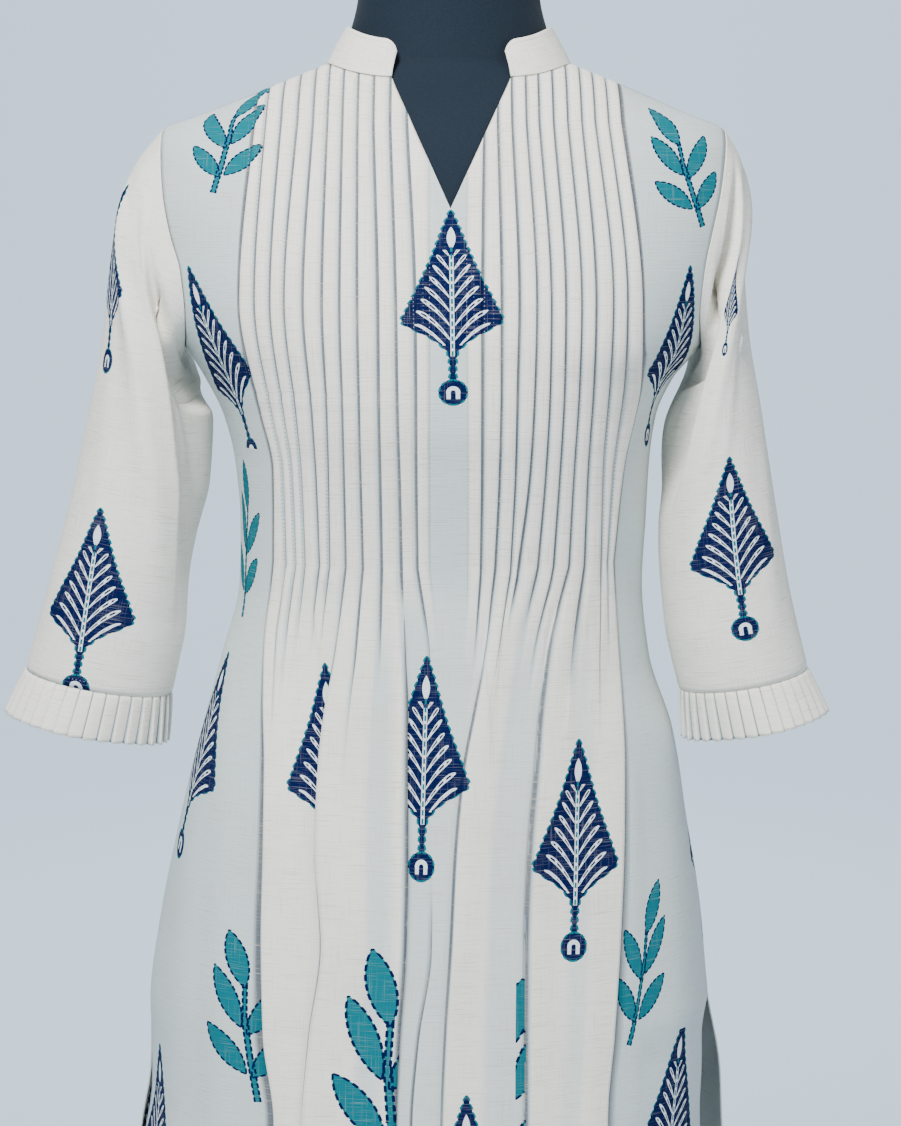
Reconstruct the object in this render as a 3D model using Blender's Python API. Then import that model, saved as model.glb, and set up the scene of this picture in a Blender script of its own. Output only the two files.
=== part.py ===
"""Kurta tunic with a tucked yoke, worn by a limbless dress form on a round foot.

Units are metres and +Z is up. The front faces -Y. Left and right are the
wearer's, so right is -X. The origin is the centre of the foot's underside.
A "drop" is a distance below the neck point, where collar and shoulder meet.
"""

import math

import bmesh
import bpy
import numpy as np
from mathutils import Vector
from mathutils.bvhtree import BVHTree

# Driving dimensions
NECK_POINT_HEIGHT = 1.374
KURTA_LENGTH = 1.120
CLOTH = 0.0015
SEAM = 0.00045
NECK_HALF_WIDTH = 0.080
SHOULDER_DROP = 0.042
UNDERARM_DROP = 0.185
WAIST_DROP = 0.320
SLIT_DROP = 0.620
V_DROP = 0.094
V_SHIFT = 0.001
COLLAR_END_RIGHT = 0.0365
COLLAR_END_LEFT = 0.0395
COLLAR_END_DROP = 0.011
BACK_NECK_DROP = 0.012
COLLAR_HEIGHT = 0.024
COLLAR_CORNER = 0.010
COLLAR_LEAN = 0.006
COLLAR_SIDE_LEAN = 0.007
TUCK_HEIGHT = 0.0011
FOLD_EDGE = 0.0005
UPPER_CELLS = 8
FRILL_LENGTH = 0.031
FRILL_PLEATS = 35
FRILL_PLEAT_HEIGHT = 0.0024
FRILL_FLARE = 0.004
FRILL_CELLS = 72
FORM_ARM_PLATE = 0.158
FORM_BOTTOM_DROP = 0.660
FORM_GAP = 0.0007
POLE_RADIUS = 0.015
FOOT_RADIUS = 0.180
FOOT_THICKNESS = 0.014
FOOT_BEVEL = 0.004
TOUCH = 0.0003

# Cloth sections: half widths right and left of the centre, depths, roundness
TORSO_COLUMNS = ("drop", "right", "left", "front", "back", "power")
TORSO = (
    (0.000, 0.080, 0.080, 0.060, 0.064, 2.00),
    (0.010, 0.105, 0.105, 0.067, 0.072, 2.00),
    (0.020, 0.130, 0.129, 0.076, 0.079, 2.00),
    (0.032, 0.161, 0.156, 0.086, 0.086, 2.05),
    (0.042, 0.187, 0.180, 0.092, 0.091, 2.10),
    (0.060, 0.199, 0.193, 0.100, 0.097, 2.20),
    (0.090, 0.203, 0.197, 0.110, 0.103, 2.30),
    (0.130, 0.196, 0.190, 0.121, 0.106, 2.30),
    (0.160, 0.186, 0.178, 0.127, 0.105, 2.30),
    (0.185, 0.173, 0.165, 0.130, 0.102, 2.25),
    (0.205, 0.161, 0.148, 0.130, 0.099, 2.20),
    (0.230, 0.149, 0.137, 0.128, 0.095, 2.20),
    (0.260, 0.142, 0.133, 0.121, 0.090, 2.20),
    (0.300, 0.139, 0.131, 0.112, 0.086, 2.20),
    (0.340, 0.140, 0.129, 0.107, 0.086, 2.20),
    (0.389, 0.152, 0.134, 0.109, 0.092, 2.20),
    (0.440, 0.166, 0.150, 0.115, 0.099, 2.20),
    (0.500, 0.181, 0.160, 0.124, 0.107, 2.20),
    (0.560, 0.194, 0.170, 0.131, 0.117, 2.20),
    (0.620, 0.203, 0.176, 0.138, 0.124, 2.20),
    (0.680, 0.206, 0.187, 0.144, 0.129, 2.20),
    (0.720, 0.213, 0.189, 0.147, 0.131, 2.20),
    (0.900, 0.230, 0.206, 0.158, 0.143, 2.20),
    (1.120, 0.250, 0.226, 0.170, 0.155, 2.20),
)

# Armhole seam: distance of the seam from the centre
ARMHOLE_COLUMNS = ("drop", "right", "left")
ARMHOLE = (
    (0.042, 0.1870, 0.1800),
    (0.062, 0.1855, 0.1775),
    (0.085, 0.1830, 0.1735),
    (0.110, 0.1780, 0.1675),
    (0.135, 0.1710, 0.1625),
    (0.160, 0.1690, 0.1605),
    (0.175, 0.1700, 0.1620),
    (0.185, 0.1730, 0.1650),
)

# Side slits: how far the front edge hangs in, and the edges' section angles
SLIT_COLUMNS = ("drop", "right", "left", "front_angle", "back_angle")
SLIT = (
    (0.620, 0.000, 0.000, 90.0, 90.0),
    (0.650, 0.002, 0.010, 84.0, 88.0),
    (0.700, 0.004, 0.017, 82.0, 87.0),
    (0.900, 0.006, 0.019, 81.0, 87.0),
    (1.120, 0.008, 0.020, 81.0, 87.0),
)

# Tuck lines in millimetres from the centre: the first stitch line, then each fold
TUCK_COLUMNS = ("drop", "places")
TUCKS_RIGHT = (
    (0.040, (12.5, 25.5, 36, 46.5, 56.5, 66, 75.5, 84.5, 94.5, 105, 115, 122)),
    (0.152, (12, 20, 32, 43, 56, 67, 78, 90, 102, 111, 121, 131)),
    (0.220, (12, 19.5, 31, 42.5, 55, 65.5, 75.5, 85, 95.5, 103.5, 111.5, 119)),
    (0.260, (12, 19.5, 30, 42, 54.5, 65, 75, 83, 92.5, 98.5, 104.5, 111)),
    (0.320, (12, 19, 29, 41.5, 53.5, 64.5, 75, 81.5, 91, 97, 103.5, 112)),
)
TUCKS_LEFT = (
    (0.040, (11.5, 21.5, 30, 39, 48, 56, 65, 74, 83, 91.5, 100, 108.5)),
    (0.152, (11, 20, 32, 43, 54, 63, 72, 82, 91, 102, 111, 121)),
    (0.200, (11.5, 20, 32, 42, 53, 62.5, 71.5, 81, 90, 100.5, 110, 121.5)),
    (0.260, (12, 20, 31, 41, 50, 60, 69, 78, 87, 97, 103.5, 111)),
    (0.320, (12, 19.5, 28.5, 38.5, 43, 55.5, 65.5, 75.5, 85.5, 96.5, 100.5, 105)),
)

# Skirt folds: where each long fold lies, which way its edge faces, its step
SKIRT_DROPS = (0.320, 0.375, 0.410, 0.447, 0.500, 0.560, 0.620, 0.675, 0.800, 1.120)
SKIRT_FOLDS = (
    # line, facing, x at each drop, step height at each drop
    (-12, "right",
     (-0.1120, -0.1178, -0.1184, -0.1175, -0.1180, -0.1193, -0.1181, -0.1110, -0.1120, -0.1220),
     (0.0011, 0.0025, 0.0030, 0.0032, 0.0035, 0.0035, 0.0035, 0.0032, 0.0028, 0.0025)),
    (-6, "right",
     (-0.0645, -0.0715, -0.0785, -0.0826, -0.0848, -0.0810, -0.0890, -0.0930, -0.0950, -0.1010),
     (0.0011, 0.0020, 0.0030, 0.0038, 0.0038, 0.0030, 0.0030, 0.0030, 0.0030, 0.0030)),
    (-3, "left",
     (-0.0290, -0.0275, -0.0260, -0.0260, -0.0260, -0.0272, -0.0314, -0.0337, -0.0350, -0.0400),
     (0.0000, 0.0018, 0.0028, 0.0030, 0.0030, 0.0030, 0.0030, 0.0028, 0.0026, 0.0025)),
    (-2, "right",
     (-0.0190, -0.0121, -0.0110, -0.0105, -0.0105, -0.0110, -0.0195, -0.0236, -0.0240, -0.0280),
     (0.0011, 0.0006, 0.0000, 0.0000, 0.0000, 0.0010, 0.0015, 0.0018, 0.0020, 0.0020)),
    (3, "right",
     (0.0285, 0.0222, 0.0160, 0.0090, 0.0038, 0.0008, -0.0031, -0.0051, -0.0060, -0.0080),
     (0.0000, 0.0015, 0.0025, 0.0030, 0.0030, 0.0030, 0.0028, 0.0026, 0.0025, 0.0025)),
    (8, "right",
     (0.0755, 0.0620, 0.0575, 0.0545, 0.0500, 0.0478, 0.0477, 0.0477, 0.0480, 0.0510),
     (0.0000, 0.0025, 0.0033, 0.0037, 0.0040, 0.0040, 0.0038, 0.0036, 0.0034, 0.0032)),
    (12, "left",
     (0.1050, 0.1090, 0.1115, 0.1130, 0.1125, 0.1100, 0.1060, 0.1014, 0.1020, 0.1080),
     (0.0011, 0.0012, 0.0012, 0.0012, 0.0012, 0.0012, 0.0012, 0.0012, 0.0012, 0.0012)),
)

# Sleeve rings: outermost and innermost point, half depth, centre along Y
SLEEVE_COLUMNS = ("outer_x", "outer_drop", "inner_x", "inner_drop", "half_depth", "centre_y")
SLEEVE_RIGHT = (
    (0.2050, 0.064, 0.1765, 0.1925, 0.061, -0.004),
    (0.2165, 0.090, 0.1725, 0.2020, 0.058, -0.007),
    (0.2225, 0.130, 0.1595, 0.2160, 0.055, -0.010),
    (0.2280, 0.178, 0.1555, 0.2400, 0.053, -0.012),
    (0.2385, 0.230, 0.1560, 0.2750, 0.051, -0.014),
    (0.2520, 0.290, 0.1630, 0.3130, 0.050, -0.015),
    (0.2680, 0.348, 0.1730, 0.3620, 0.049, -0.015),
    (0.2820, 0.397, 0.1850, 0.4150, 0.048, -0.015),
)
SLEEVE_LEFT = (
    (0.1920, 0.064, 0.1652, 0.1925, 0.060, -0.004),
    (0.1960, 0.093, 0.1600, 0.2025, 0.0575, -0.007),
    (0.1935, 0.125, 0.1522, 0.2150, 0.056, -0.011),
    (0.1965, 0.170, 0.1420, 0.2380, 0.054, -0.015),
    (0.2055, 0.225, 0.1388, 0.2720, 0.052, -0.018),
    (0.2150, 0.283, 0.1388, 0.3120, 0.050, -0.020),
    (0.2255, 0.342, 0.1430, 0.3650, 0.049, -0.020),
    (0.2385, 0.396, 0.1530, 0.4110, 0.048, -0.020),
)

# Sleeve folds: path over ring number and angle from the outside, over the front
SLEEVE_FOLDS = (
    # side, first ring, angle, last ring, angle, half width in degrees, height
    ("right", 1.5, 35.0, 7.0, 150.0, 16.0, 0.0045),
    ("right", 1.5, 65.0, 6.5, 172.0, 18.0, -0.0040),
    ("right", 2.0, 205.0, 7.0, 250.0, 20.0, -0.0035),
    ("left", 1.0, 15.0, 5.5, 150.0, 16.0, -0.0050),
    ("left", 1.5, -10.0, 6.0, 118.0, 18.0, 0.0035),
    ("left", 2.0, 215.0, 7.0, 260.0, 20.0, -0.0035),
)

# Clearance between the form and the cloth's inside
FORM_EASE = (
    (0.000, 0.0007),
    (0.060, 0.0009),
    (0.100, 0.0018),
    (0.140, 0.0035),
    (0.220, 0.0070),
    (0.300, 0.0090),
    (0.400, 0.0150),
    (0.550, 0.0240),
    (0.660, 0.0300),
)

# Neck of the form: half width, depth in front and behind
FORM_NECK = (
    (-0.085, 0.0575, 0.0490, 0.0500),
    (-0.060, 0.0582, 0.0495, 0.0510),
    (-0.041, 0.0597, 0.0505, 0.0530),
    (-0.022, 0.0643, 0.0530, 0.0575),
    (-0.010, 0.0690, 0.0552, 0.0600),
    (-0.004, 0.0715, 0.0565, 0.0615),
    (0.0015, 0.0745, 0.0575, 0.0625),
)


def smooth(stations, values, at):
    """Smooth curve through the stations of a table, without overshoot."""
    stations = np.asarray(stations, dtype=float)
    values = np.asarray(values, dtype=float)
    steps = np.diff(stations)
    slopes = np.diff(values) / steps
    tangents = np.zeros_like(values)
    tangents[0] = slopes[0]
    tangents[-1] = slopes[-1]
    same_way = slopes[:-1] * slopes[1:] > 0.0
    total = np.where(same_way, slopes[:-1] + slopes[1:], 1.0)
    tangents[1:-1] = np.where(same_way, 2.0 * slopes[:-1] * slopes[1:] / total, 0.0)
    at = np.clip(np.asarray(at, dtype=float), stations[0], stations[-1])
    cell = np.clip(np.searchsorted(stations, at) - 1, 0, len(steps) - 1)
    step = steps[cell]
    t = (at - stations[cell]) / step
    start = (1.0 + 2.0 * t) * (1.0 - t) ** 2 * values[cell]
    start_slope = t * (1.0 - t) ** 2 * step * tangents[cell]
    end = t ** 2 * (3.0 - 2.0 * t) * values[cell + 1]
    end_slope = t ** 2 * (t - 1.0) * step * tangents[cell + 1]
    return start + start_slope + end + end_slope


def column(table, names, name, at):
    """Value of one named column of a table at a drop."""
    place = names.index(name)
    return smooth([row[0] for row in table], [row[place] for row in table], at)


def half_width(panel, side, drop):
    """Distance of the section's side from the centre, for a panel's side."""
    width = column(TORSO, TORSO_COLUMNS, side, drop)
    if panel == "front":
        hang = column(SLIT, SLIT_COLUMNS, side, drop)
        width = width - np.where(np.asarray(drop) > SLIT_DROP, hang, 0.0)
    return width


def side_of(x):
    """Name of the side that a signed width lies on."""
    return "right" if x < 0.0 else "left"


def cloth_point(panel, side, angle, drop):
    """Plain cloth surface: the angle is 0 at the centre and 90 at the side."""
    power = float(column(TORSO, TORSO_COLUMNS, "power", drop))
    depth = float(column(TORSO, TORSO_COLUMNS, panel, drop))
    sign = -1.0 if side == "right" else 1.0
    turn = math.radians(min(angle, 90.0))
    x = sign * float(half_width(panel, side, drop)) * math.sin(turn) ** (2.0 / power)
    y = depth * max(math.cos(turn), 0.0) ** (2.0 / power)
    if panel == "front":
        y = -y
    return np.array((x, y, NECK_POINT_HEIGHT - drop))


def section_level(panel, side, x, y, drop):
    """Implicit form of the section: 1 on the cloth surface."""
    power = column(TORSO, TORSO_COLUMNS, "power", drop)
    depth = column(TORSO, TORSO_COLUMNS, panel, drop)
    return (abs(x) / half_width(panel, side, drop)) ** power + (abs(y) / depth) ** power


def cloth_normal(panel, side, point):
    """Outward direction of the plain cloth surface at a point on it."""
    nudge = 0.0002
    x, y, z = point
    drop = NECK_POINT_HEIGHT - z
    here = section_level(panel, side, x, y, drop)
    across = section_level(panel, side, abs(x) + nudge, y, drop) - here
    deep = section_level(panel, side, x, abs(y) + nudge, drop) - here
    low = max(drop, nudge)
    down = section_level(panel, side, x, y, low + nudge) - section_level(panel, side, x, y, low - nudge)
    toward = -1.0 if side == "right" else 1.0
    ahead = -1.0 if panel == "front" else 1.0
    normal = np.array((toward * float(across), ahead * float(deep), -0.5 * float(down)))
    return normal / np.linalg.norm(normal)


def angle_at(panel, side, distance, drop):
    """Section angle of a point at a distance from the centre."""
    power = float(column(TORSO, TORSO_COLUMNS, "power", drop))
    share = min(distance / float(half_width(panel, side, drop)), 1.0)
    return math.degrees(math.asin(share ** (power / 2.0)))


def edge_angle(panel, side, drop):
    """Section angle of a panel's side edge: armhole, side seam, then slit."""
    if drop < UNDERARM_DROP:
        distance = float(column(ARMHOLE, ARMHOLE_COLUMNS, side, drop))
        return angle_at(panel, side, distance, drop)
    if drop > SLIT_DROP:
        return float(column(SLIT, SLIT_COLUMNS, panel + "_angle", drop))
    return 90.0


def shoulder_drop(side, distance):
    """Drop of the shoulder seam at a distance from the centre."""
    low, high = 0.0, SHOULDER_DROP
    for _ in range(40):
        middle = 0.5 * (low + high)
        if float(column(TORSO, TORSO_COLUMNS, side, middle)) < distance:
            low = middle
        else:
            high = middle
    return 0.5 * (low + high)


def top_drop(panel, side, distance):
    """Drop of a panel's top edge: neckline, collar seam or shoulder seam."""
    if distance >= NECK_HALF_WIDTH:
        return shoulder_drop(side, distance)
    if panel == "back":
        return BACK_NECK_DROP * (1.0 - (distance / NECK_HALF_WIDTH) ** 2)
    collar_end = COLLAR_END_RIGHT if side == "right" else COLLAR_END_LEFT
    if distance >= collar_end:
        share = (distance - collar_end) / (NECK_HALF_WIDTH - collar_end)
        return COLLAR_END_DROP * (1.0 - share ** 2)
    shift = V_SHIFT if side == "left" else -V_SHIFT
    share = abs(distance - shift) / (collar_end - shift)
    return V_DROP - (V_DROP - COLLAR_END_DROP) * share


def line_places(drop):
    """Signed x of the 25 tuck and fold lines, from right to left, at a drop."""
    above = min(drop, WAIST_DROP)
    places = {0: V_SHIFT if drop < V_DROP else 0.0}
    for sign, table in ((-1, TUCKS_RIGHT), (1, TUCKS_LEFT)):
        drops = [row[0] for row in table]
        for number in range(12):
            distance = 0.001 * smooth(drops, [row[1][number] for row in table], above)
            places[sign * (number + 1)] = sign * float(distance)
    if drop > WAIST_DROP:
        waist = dict(places)
        keys = [fold[0] for fold in SKIRT_FOLDS]
        spots = [float(smooth(SKIRT_DROPS, fold[2], drop)) for fold in SKIRT_FOLDS]
        for number in places:
            places[number] = float(np.interp(waist[number], [waist[key] for key in keys], spots))
    return places


def skirt_profile(drop):
    """Places and heights that the skirt folds give across a section."""
    fade = min(max((drop - WAIST_DROP) / 0.060, 0.0), 1.0)
    places, heights = [], []
    for _, facing, spots, steps in SKIRT_FOLDS:
        spot = float(smooth(SKIRT_DROPS, spots, drop))
        step = float(smooth(SKIRT_DROPS, steps, drop)) * fade
        places += [spot - FOLD_EDGE, spot + FOLD_EDGE]
        heights += [0.0, step] if facing == "right" else [step, 0.0]
    return places, heights


def front_columns():
    """Columns of the front: fold edges in pairs, then the plain sides."""
    columns = []
    for side, sign in (("right", -1), ("left", 1)):
        half = [("line", side, sign * 1, 0.0, 0.0)]
        neck_line = 7 if side == "right" else 8
        for number in range(2, 13):
            half.append(("line", side, sign * number, -sign * FOLD_EDGE, TUCK_HEIGHT))
            half.append(("line", side, sign * number, sign * FOLD_EDGE, 0.0))
            if number == neck_line:
                half.append(("neck", side, sign * number, 0.5, 0.5 * TUCK_HEIGHT))
        half += [("side", side, share, 0.0, 0.0) for share in (0.17, 0.34, 0.51, 0.68, 0.84, 1.0)]
        columns.append(half)
    centre = [("line", "left", 0, 0.0, 0.0)]
    return columns[0][::-1] + centre + columns[1]


def front_place(entry, drop):
    """Side, section angle and relief of one column of the front at a drop."""
    kind, side, number, shift, height = entry
    lines = line_places(drop)
    sign = -1 if side == "right" else 1
    relief = height
    if kind == "neck":
        between = lines[number] + shift * (lines[number + sign] - lines[number])
        at_neck = min(drop / SHOULDER_DROP, 1.0)
        x = sign * NECK_HALF_WIDTH + at_neck * (between - sign * NECK_HALF_WIDTH)
        angle = angle_at("front", side, abs(x), drop)
    elif kind == "line":
        x = lines[number] + shift
        side = side_of(x)
        angle = angle_at("front", side, abs(x), drop)
    else:
        outer_line = abs(lines[sign * 12]) + FOLD_EDGE
        start = angle_at("front", side, outer_line, drop)
        end = edge_angle("front", side, drop)
        by_angle = start + number * (end - start)
        reach = float(column(ARMHOLE, ARMHOLE_COLUMNS, side, drop))
        if drop >= UNDERARM_DROP:
            reach = float(half_width("front", side, drop))
        by_width = angle_at("front", side, outer_line + number * (reach - outer_line), drop)
        blend = min(max((drop - 0.060) / 0.080, 0.0), 1.0)
        angle = by_width + blend * (by_angle - by_width) if number < 1.0 else end
        x = float(cloth_point("front", side, angle, drop)[0])
    if drop > WAIST_DROP:
        fade = max(1.0 - (drop - WAIST_DROP) / 0.050, 0.0)
        spots, heights = skirt_profile(drop)
        relief = fade * height + float(np.interp(x, spots, heights))
    return side, angle, relief


def column_top(entry):
    """Drop where a column of the front starts."""
    if entry[0] == "neck":
        return 0.0
    drop = SHOULDER_DROP
    for _ in range(30):
        side, angle, _ = front_place(entry, max(drop, 0.001))
        x = float(cloth_point("front", side, angle, max(drop, 0.001))[0])
        if entry[0] == "side":
            outer_line = abs(line_places(drop)[-12 if side == "right" else 12]) + FOLD_EDGE
            tip = float(column(ARMHOLE, ARMHOLE_COLUMNS, side, drop))
            x = outer_line + entry[2] * (tip - outer_line)
        drop = 0.5 * drop + 0.5 * top_drop("front", side, abs(x))
    return drop


def material(name, colour, roughness, metallic=0.0):
    """Principled material in one colour."""
    made = bpy.data.materials.new(name)
    made.use_nodes = True
    shader = made.node_tree.nodes["Principled BSDF"]
    shader.inputs["Base Color"].default_value = (*colour, 1.0)
    shader.inputs["Roughness"].default_value = roughness
    shader.inputs["Metallic"].default_value = metallic
    return made


def add_object(name, points, faces, finish, smooth_angle=35.0):
    """One closed body from points and faces, with its faces turned outwards."""
    mesh = bpy.data.meshes.new(name)
    mesh.from_pydata([tuple(point) for point in points], [], faces)
    work = bmesh.new()
    work.from_mesh(mesh)
    bmesh.ops.recalc_face_normals(work, faces=work.faces)
    work.to_mesh(mesh)
    work.free()
    mesh.materials.append(finish)
    mesh.shade_smooth()
    mesh.set_sharp_from_angle(angle=math.radians(smooth_angle))
    made = bpy.data.objects.new(name, mesh)
    bpy.context.scene.collection.objects.link(made)
    return made


def wall(name, outer, inner, round_about, finish):
    """Closed wall between two grids of points, open at its rims or a ring."""
    rows, columns = outer.shape[:2]
    points = np.concatenate((outer.reshape(-1, 3), inner.reshape(-1, 3)))
    under = rows * columns

    def place(row, col):
        return row * columns + col % columns

    faces = []
    spans = columns if round_about else columns - 1
    for row in range(rows - 1):
        for col in range(spans):
            a, b = place(row, col), place(row + 1, col)
            c, d = place(row + 1, col + 1), place(row, col + 1)
            faces += [(a, b, c), (a, c, d)]
            faces += [(under + a, under + c, under + b), (under + a, under + d, under + c)]
    for row, flip in ((0, False), (rows - 1, True)):
        for col in range(spans):
            a, b = place(row, col), place(row, col + 1)
            rim = [a, b, under + b, under + a]
            rim = rim[::-1] if flip else rim
            faces += [tuple(rim[:3]), (rim[0], rim[2], rim[3])]
    if not round_about:
        for col, flip in ((0, True), (columns - 1, False)):
            for row in range(rows - 1):
                a, b = place(row, col), place(row + 1, col)
                rim = [a, b, under + b, under + a]
                rim = rim[::-1] if flip else rim
                faces += [tuple(rim[:3]), (rim[0], rim[2], rim[3])]
    return add_object(name, points, faces, finish)


def upper_rows(top):
    """Drops from a panel's top edge to the underarm, closer at both ends."""
    turns = [math.pi * k / UPPER_CELLS for k in range(UPPER_CELLS + 1)]
    return [top + (UNDERARM_DROP - top) * 0.5 * (1.0 - math.cos(turn)) for turn in turns]


def front_panel(finish):
    """Front with its tucked yoke, V neck, released folds and slit edges."""
    lower = (0.205, 0.235, 0.275, WAIST_DROP, 0.350, 0.385, 0.430, 0.490, 0.555, SLIT_DROP, 0.655, 0.720,
             0.840, 0.980, KURTA_LENGTH)
    entries = front_columns()
    outer, inner = [], []
    tops = [column_top(entry) for entry in entries]
    for number in range(len(upper_rows(0.0)) + len(lower)):
        outer_row, inner_row = [], []
        for entry, top in zip(entries, tops):
            drops = upper_rows(top) + list(lower)
            drop = drops[number]
            side, angle, relief = front_place(entry, drop)
            plain = cloth_point("front", side, angle, drop)
            normal = cloth_normal("front", side, plain)
            shift = np.array((0.0, -0.5 * SEAM, 0.0))
            relief = 0.0 if number == 0 else relief
            outer_row.append(plain + normal * relief + shift)
            inner_row.append(plain - normal * CLOTH + shift)
        outer.append(outer_row)
        inner.append(inner_row)
    return wall("front", np.array(outer), np.array(inner), False, finish), np.array(outer[0])


def back_panel(finish):
    """Back, plain, with the same armholes and slits."""
    lower = (0.205, 0.235, 0.275, 0.340, 0.430, 0.525, SLIT_DROP, 0.655, 0.720, 0.900, KURTA_LENGTH)
    neck_share = 0.436
    shares = [0.0, 0.11, 0.22, 0.32, 0.385, 0.42, neck_share, 0.52, 0.61, 0.70, 0.79, 0.87, 0.94, 1.0]
    entries = [("right", share) for share in shares[:0:-1]] + [("left", share) for share in shares]
    outer, inner = [], []
    for number in range(len(upper_rows(0.0)) + len(lower)):
        outer_row, inner_row = [], []
        for side, share in entries:
            tip = float(column(ARMHOLE, ARMHOLE_COLUMNS, side, 0.0))
            distance = NECK_HALF_WIDTH * share / neck_share
            if share > neck_share:
                beyond = (share - neck_share) / (1.0 - neck_share)
                distance = NECK_HALF_WIDTH + (tip - NECK_HALF_WIDTH) * beyond
            drops = upper_rows(top_drop("back", side, distance)) + list(lower)
            drop = drops[number]
            reach = float(column(ARMHOLE, ARMHOLE_COLUMNS, side, drop)) / tip
            by_width = angle_at("back", side, distance * reach, drop)
            by_angle = share * edge_angle("back", side, drop)
            blend = min(max((drop - 0.060) / 0.080, 0.0), 1.0)
            angle = by_width + blend * (by_angle - by_width)
            if share == 1.0:
                angle = edge_angle("back", side, drop)
            plain = cloth_point("back", side, angle, drop)
            normal = cloth_normal("back", side, plain)
            shift = np.array((0.0, 0.5 * SEAM, 0.0))
            outer_row.append(plain + shift)
            inner_row.append(plain - normal * CLOTH + shift)
        outer.append(outer_row)
        inner.append(inner_row)
    return wall("back", np.array(outer), np.array(inner), False, finish), np.array(outer[0])


def armhole_ring(side, turns):
    """Points of the armhole seam, from the shoulder over the front and round."""
    middle = 0.5 * (SHOULDER_DROP + UNDERARM_DROP)
    half = 0.5 * (UNDERARM_DROP - SHOULDER_DROP)
    corners = 2 * UPPER_CELLS
    points, normals = [], []
    for turn in [2.0 * math.pi * k / corners for k in range(corners)]:
        drop = middle - half * math.cos(turn)
        panel = "front" if math.sin(turn) > 0.0 else "back"
        point = cloth_point(panel, side, edge_angle(panel, side, min(drop, UNDERARM_DROP - 1e-6)), drop)
        points.append(point)
        normals.append(cloth_normal(panel, side, point))
    points, normals = np.array(points), np.array(normals)
    places = np.asarray(turns) / (2.0 * math.pi) * corners
    low = places.astype(int) % corners
    high = (low + 1) % corners
    share = (places - places.astype(int))[:, None]
    points = points[low] * (1.0 - share) + points[high] * share
    normals = normals[low] * (1.0 - share) + normals[high] * share
    return points, normals


def fold_height(side, ring, turn):
    """How far the sleeve's folds lift the cloth at a ring and angle."""
    height = 0.0
    for name, first, start, last, end, width, rise in SLEEVE_FOLDS:
        if name != side or not first <= ring <= last:
            continue
        share = (ring - first) / (last - first)
        away = (math.degrees(turn) - (start + share * (end - start)) + 180.0) % 360.0 - 180.0
        height += rise * math.sin(math.pi * share) ** 0.7 * math.exp(-(away / width) ** 2)
    return height


def grid_normals(grid):
    """Outward directions at the points of a grid of rings, from its faces."""
    right = np.roll(grid, -1, axis=1)
    first = np.cross(grid[1:] - grid[:-1], right[1:] - grid[:-1])
    second = np.cross(right[1:] - grid[:-1], right[:-1] - grid[:-1])
    faces = first + second
    normals = np.zeros_like(grid)
    normals[:-1] += faces + np.roll(faces, 1, axis=1)
    normals[1:] += faces + np.roll(faces, 1, axis=1)
    normals /= np.linalg.norm(normals, axis=2, keepdims=True)
    centre = grid.mean(axis=1, keepdims=True)
    if ((grid - centre) * normals).sum() < 0.0:
        normals = -normals
    return normals


def sleeve_rings(side, turns, stations):
    """Plain sleeve surface: rings from the armhole down to the cuff."""
    sign = -1.0 if side == "right" else 1.0
    table = SLEEVE_RIGHT if side == "right" else SLEEVE_LEFT
    seam, seam_normals = armhole_ring(side, turns)
    seam = seam + np.array((sign * SEAM, 0.0, 0.0))
    first_outer = (abs(seam[0][0]), SHOULDER_DROP)
    first_inner = (abs(seam[len(turns) // 2][0]), UNDERARM_DROP)
    rows = [(*first_outer, *first_inner, 0.062, -0.004)] + list(table)
    numbers = range(len(rows))
    rings = []
    for station in stations:
        values = [float(smooth(numbers, [row[place] for row in rows], station)) for place in range(6)]
        outer = np.array((sign * values[0], NECK_POINT_HEIGHT - values[1]))
        inner = np.array((sign * values[2], NECK_POINT_HEIGHT - values[3]))
        middle = 0.5 * (outer + inner)
        reach = 0.5 * (outer - inner)
        ring = []
        for turn in turns:
            across = middle + reach * math.cos(turn)
            ring.append((across[0], values[5] - values[4] * math.sin(turn), across[1]))
        rings.append(np.array(ring))
    away_from_plain = seam - rings[0]
    for row, station in enumerate(stations):
        rings[row] = rings[row] + away_from_plain * max(1.0 - station / 4.0, 0.0) ** 1.5
    return np.array(rings), seam_normals


def sleeve(side, finish):
    """Sleeve set into the armhole, with its long folds."""
    turns = [2.0 * math.pi * k / (4 * UPPER_CELLS) for k in range(4 * UPPER_CELLS)]
    stations = [0.0, 1.2, 2.1, 2.9, 3.6, 4.3, 5.1, 5.9, 6.6, 7.3, 8.0]
    grid, seam_normals = sleeve_rings(side, turns, stations)
    normals = grid_normals(grid)
    for row, station in enumerate(stations):
        for col, turn in enumerate(turns):
            grid[row, col] += normals[row, col] * fold_height(side, station, turn)
    normals = grid_normals(grid)
    share = 0.5 * (1.0 - np.cos(np.array(turns)))[:, None]
    mitre = seam_normals * (1.0 - share) + normals[0] * share
    normals[0] = mitre / np.linalg.norm(mitre, axis=1, keepdims=True)
    return wall("sleeve_" + side, grid, grid - normals * CLOTH, True, finish)


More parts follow.
